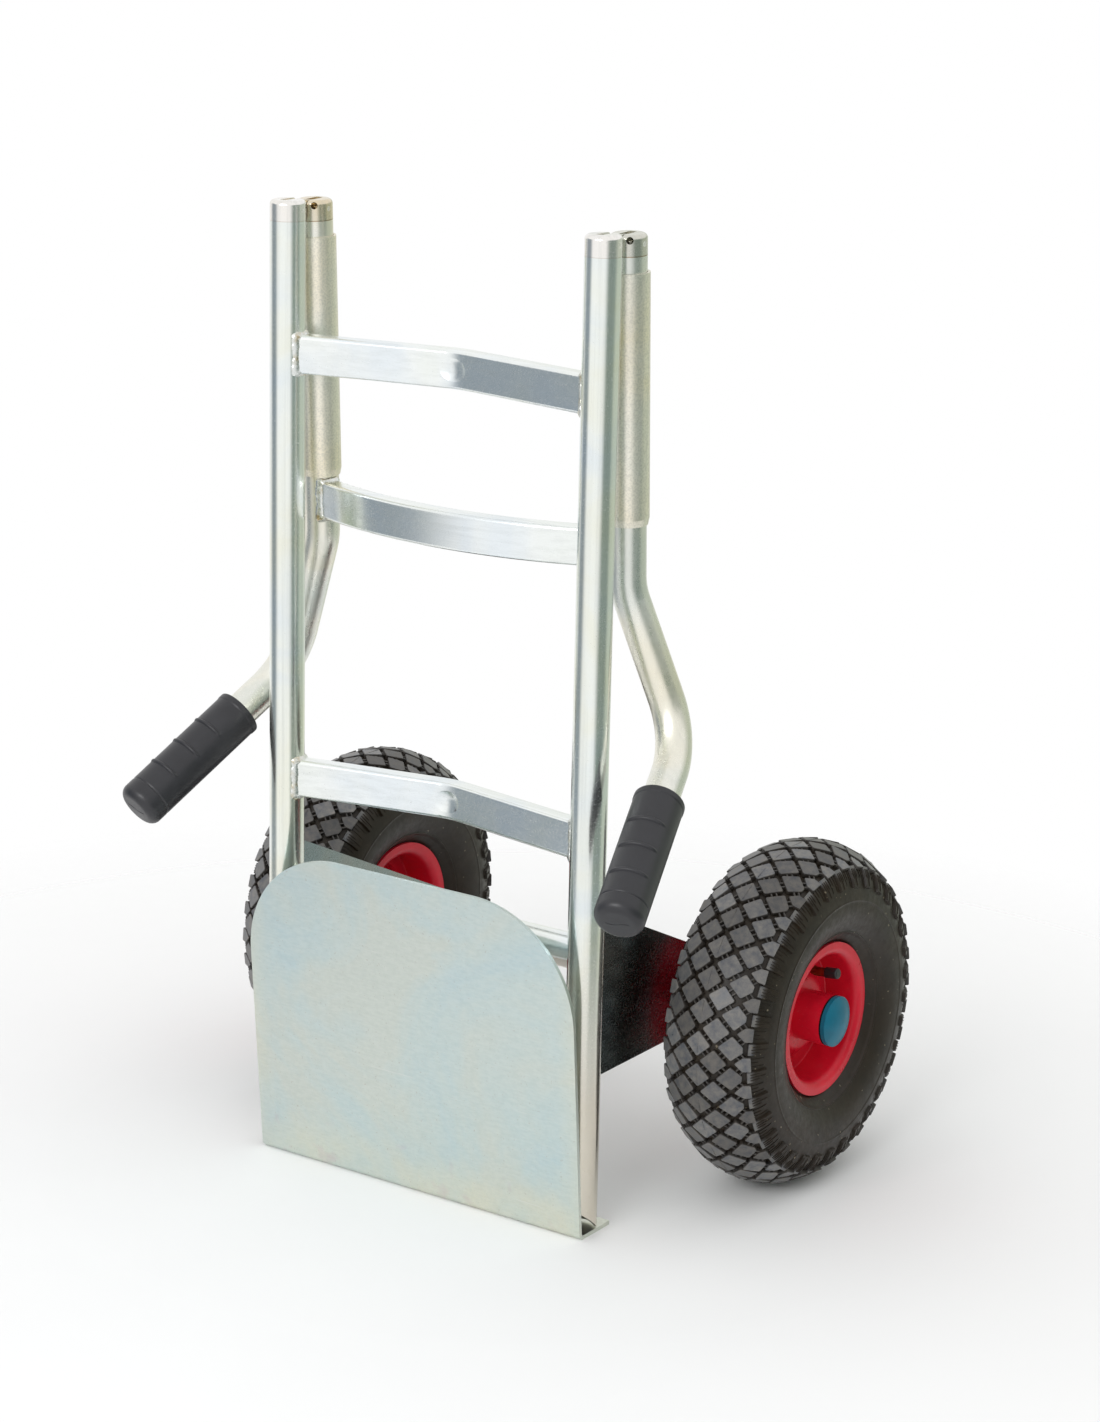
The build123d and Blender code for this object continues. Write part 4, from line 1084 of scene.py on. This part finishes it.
def floor():
    """A pale round floor that fades out towards its rim."""
    turns = [2 * pi * step / FLOOR_SIDES for step in range(FLOOR_SIDES)]
    points = [FLOOR_MIDDLE + FLOOR_R * Vector((cos(turn), sin(turn), 0)) for turn in turns]
    finish = Finish("studio_floor", Roughness=0.9, Specular_IOR_Level=0.1)
    dim, bright = FLOOR_TONES
    finish.use("Base Color", finish.ramp(finish.noise(3.0), (0.3, dim), (0.7, bright)))
    distance = finish.nodes.new("ShaderNodeVectorMath")
    distance.operation = "DISTANCE"
    finish.links.new(finish.place, distance.inputs[0])
    distance.inputs[1].default_value = FLOOR_MIDDLE
    finish.use("Alpha", finish.span(distance.outputs["Value"], FLOOR_SOLID_R, FLOOR_CLEAR_R, 1.0, 0.0))
    return mesh_piece("studio_floor", points, [tuple(range(FLOOR_SIDES))], finish.material)


floor()

lamp(
    "front_light",
    FRONT_LIGHT_PLACE,
    FRONT_LIGHT_AIM,
    FRONT_LIGHT_SIZE,
    FRONT_LIGHT_WATTS,
    FRONT_LIGHT_COLOUR,
)


def card(name, stops):
    """A curved card round the stage, seen only in reflections, that fades from colour to colour."""
    columns = [stops[0]]
    for (start, first), (end, last) in zip(stops, stops[1:]):
        shares = [step / CARD_STEPS for step in range(1, CARD_STEPS + 1)]
        columns += [(start + (end - start) * share, first.lerp(last, share)) for share in shares]
    points, shades = [], []
    for level, fade in CARD_ROWS:
        for bearing, colour in columns:
            turn = radians(bearing)
            points.append(CARD_DISTANCE * Vector((sin(turn), -cos(turn), 0)) + level * UP)
            shades.append((*colour.lerp(WHITE, fade), 1.0))
    width = len(columns)
    starts = [row * width + step for row in range(len(CARD_ROWS) - 1) for step in range(width - 1)]
    faces = [(start, start + 1, start + width + 1, start + width) for start in starts]
    finish = Finish(name, Roughness=1.0, Specular_IOR_Level=0.0, Emission_Strength=1.0)
    finish.shader.inputs["Base Color"].default_value = (0, 0, 0, 1)
    finish.use("Emission Color", finish.attribute("shade", "Color"))
    panel = mesh_piece(name, points, faces, finish.material)
    shade = panel.data.attributes.new("shade", "FLOAT_COLOR", "POINT")
    shade.data.foreach_set("color", [part for colour in shades for part in colour])
    panel.visible_camera = False


card("studio_card_left", LEFT_CARD)
card("studio_card_back", BACK_CARD)

# World: the room's level lights the scene, plain white is what the camera and mirror rays meet
world = bpy.data.worlds.new("studio")
bpy.context.scene.world = world
world.use_nodes = True
nodes, links = world.node_tree.nodes, world.node_tree.links
nodes.clear()
room = nodes.new("ShaderNodeBackground")
room.inputs["Color"].default_value = (1, 1, 1, 1)
room.inputs["Strength"].default_value = ROOM_LIGHT
white = nodes.new("ShaderNodeBackground")
white.inputs["Color"].default_value = (1, 1, 1, 1)
white.inputs["Strength"].default_value = 1.0
path = nodes.new("ShaderNodeLightPath")
mirrored_rays = nodes.new("ShaderNodeMath")
links.new(path.outputs["Is Glossy Ray"], mirrored_rays.inputs[0])
links.new(path.outputs["Is Transmission Ray"], mirrored_rays.inputs[1])
showing = nodes.new("ShaderNodeMath")
showing.use_clamp = True
links.new(path.outputs["Is Camera Ray"], showing.inputs[0])
links.new(mirrored_rays.outputs["Value"], showing.inputs[1])
seen = nodes.new("ShaderNodeMixShader")
links.new(showing.outputs["Value"], seen.inputs["Fac"])
links.new(room.outputs["Background"], seen.inputs[1])
links.new(white.outputs["Background"], seen.inputs[2])
links.new(seen.outputs["Shader"], nodes.new("ShaderNodeOutputWorld").inputs["Surface"])

# Camera: back, right and top are its axes in the photograph's view
back = Vector((
    sin(VIEW_AZIMUTH) * cos(VIEW_ELEVATION),
    -cos(VIEW_AZIMUTH) * cos(VIEW_ELEVATION),
    sin(VIEW_ELEVATION),
))
level = Vector((cos(VIEW_AZIMUTH), sin(VIEW_AZIMUTH), 0))
upright = back.cross(level)
right = level * cos(VIEW_ROLL) + upright * sin(VIEW_ROLL)
top = upright * cos(VIEW_ROLL) - level * sin(VIEW_ROLL)
lens = bpy.data.cameras.new("photo_view")
lens.lens = LENS_MM
lens.sensor_width = SENSOR_MM
camera = bpy.data.objects.new("photo_view", lens)
bpy.context.collection.objects.link(camera)
camera.matrix_world = Matrix.Translation(VIEW_FROM) @ Matrix((right, top, back)).transposed().to_4x4()
bpy.context.scene.camera = camera
bpy.context.scene.view_settings.view_transform = "Standard"
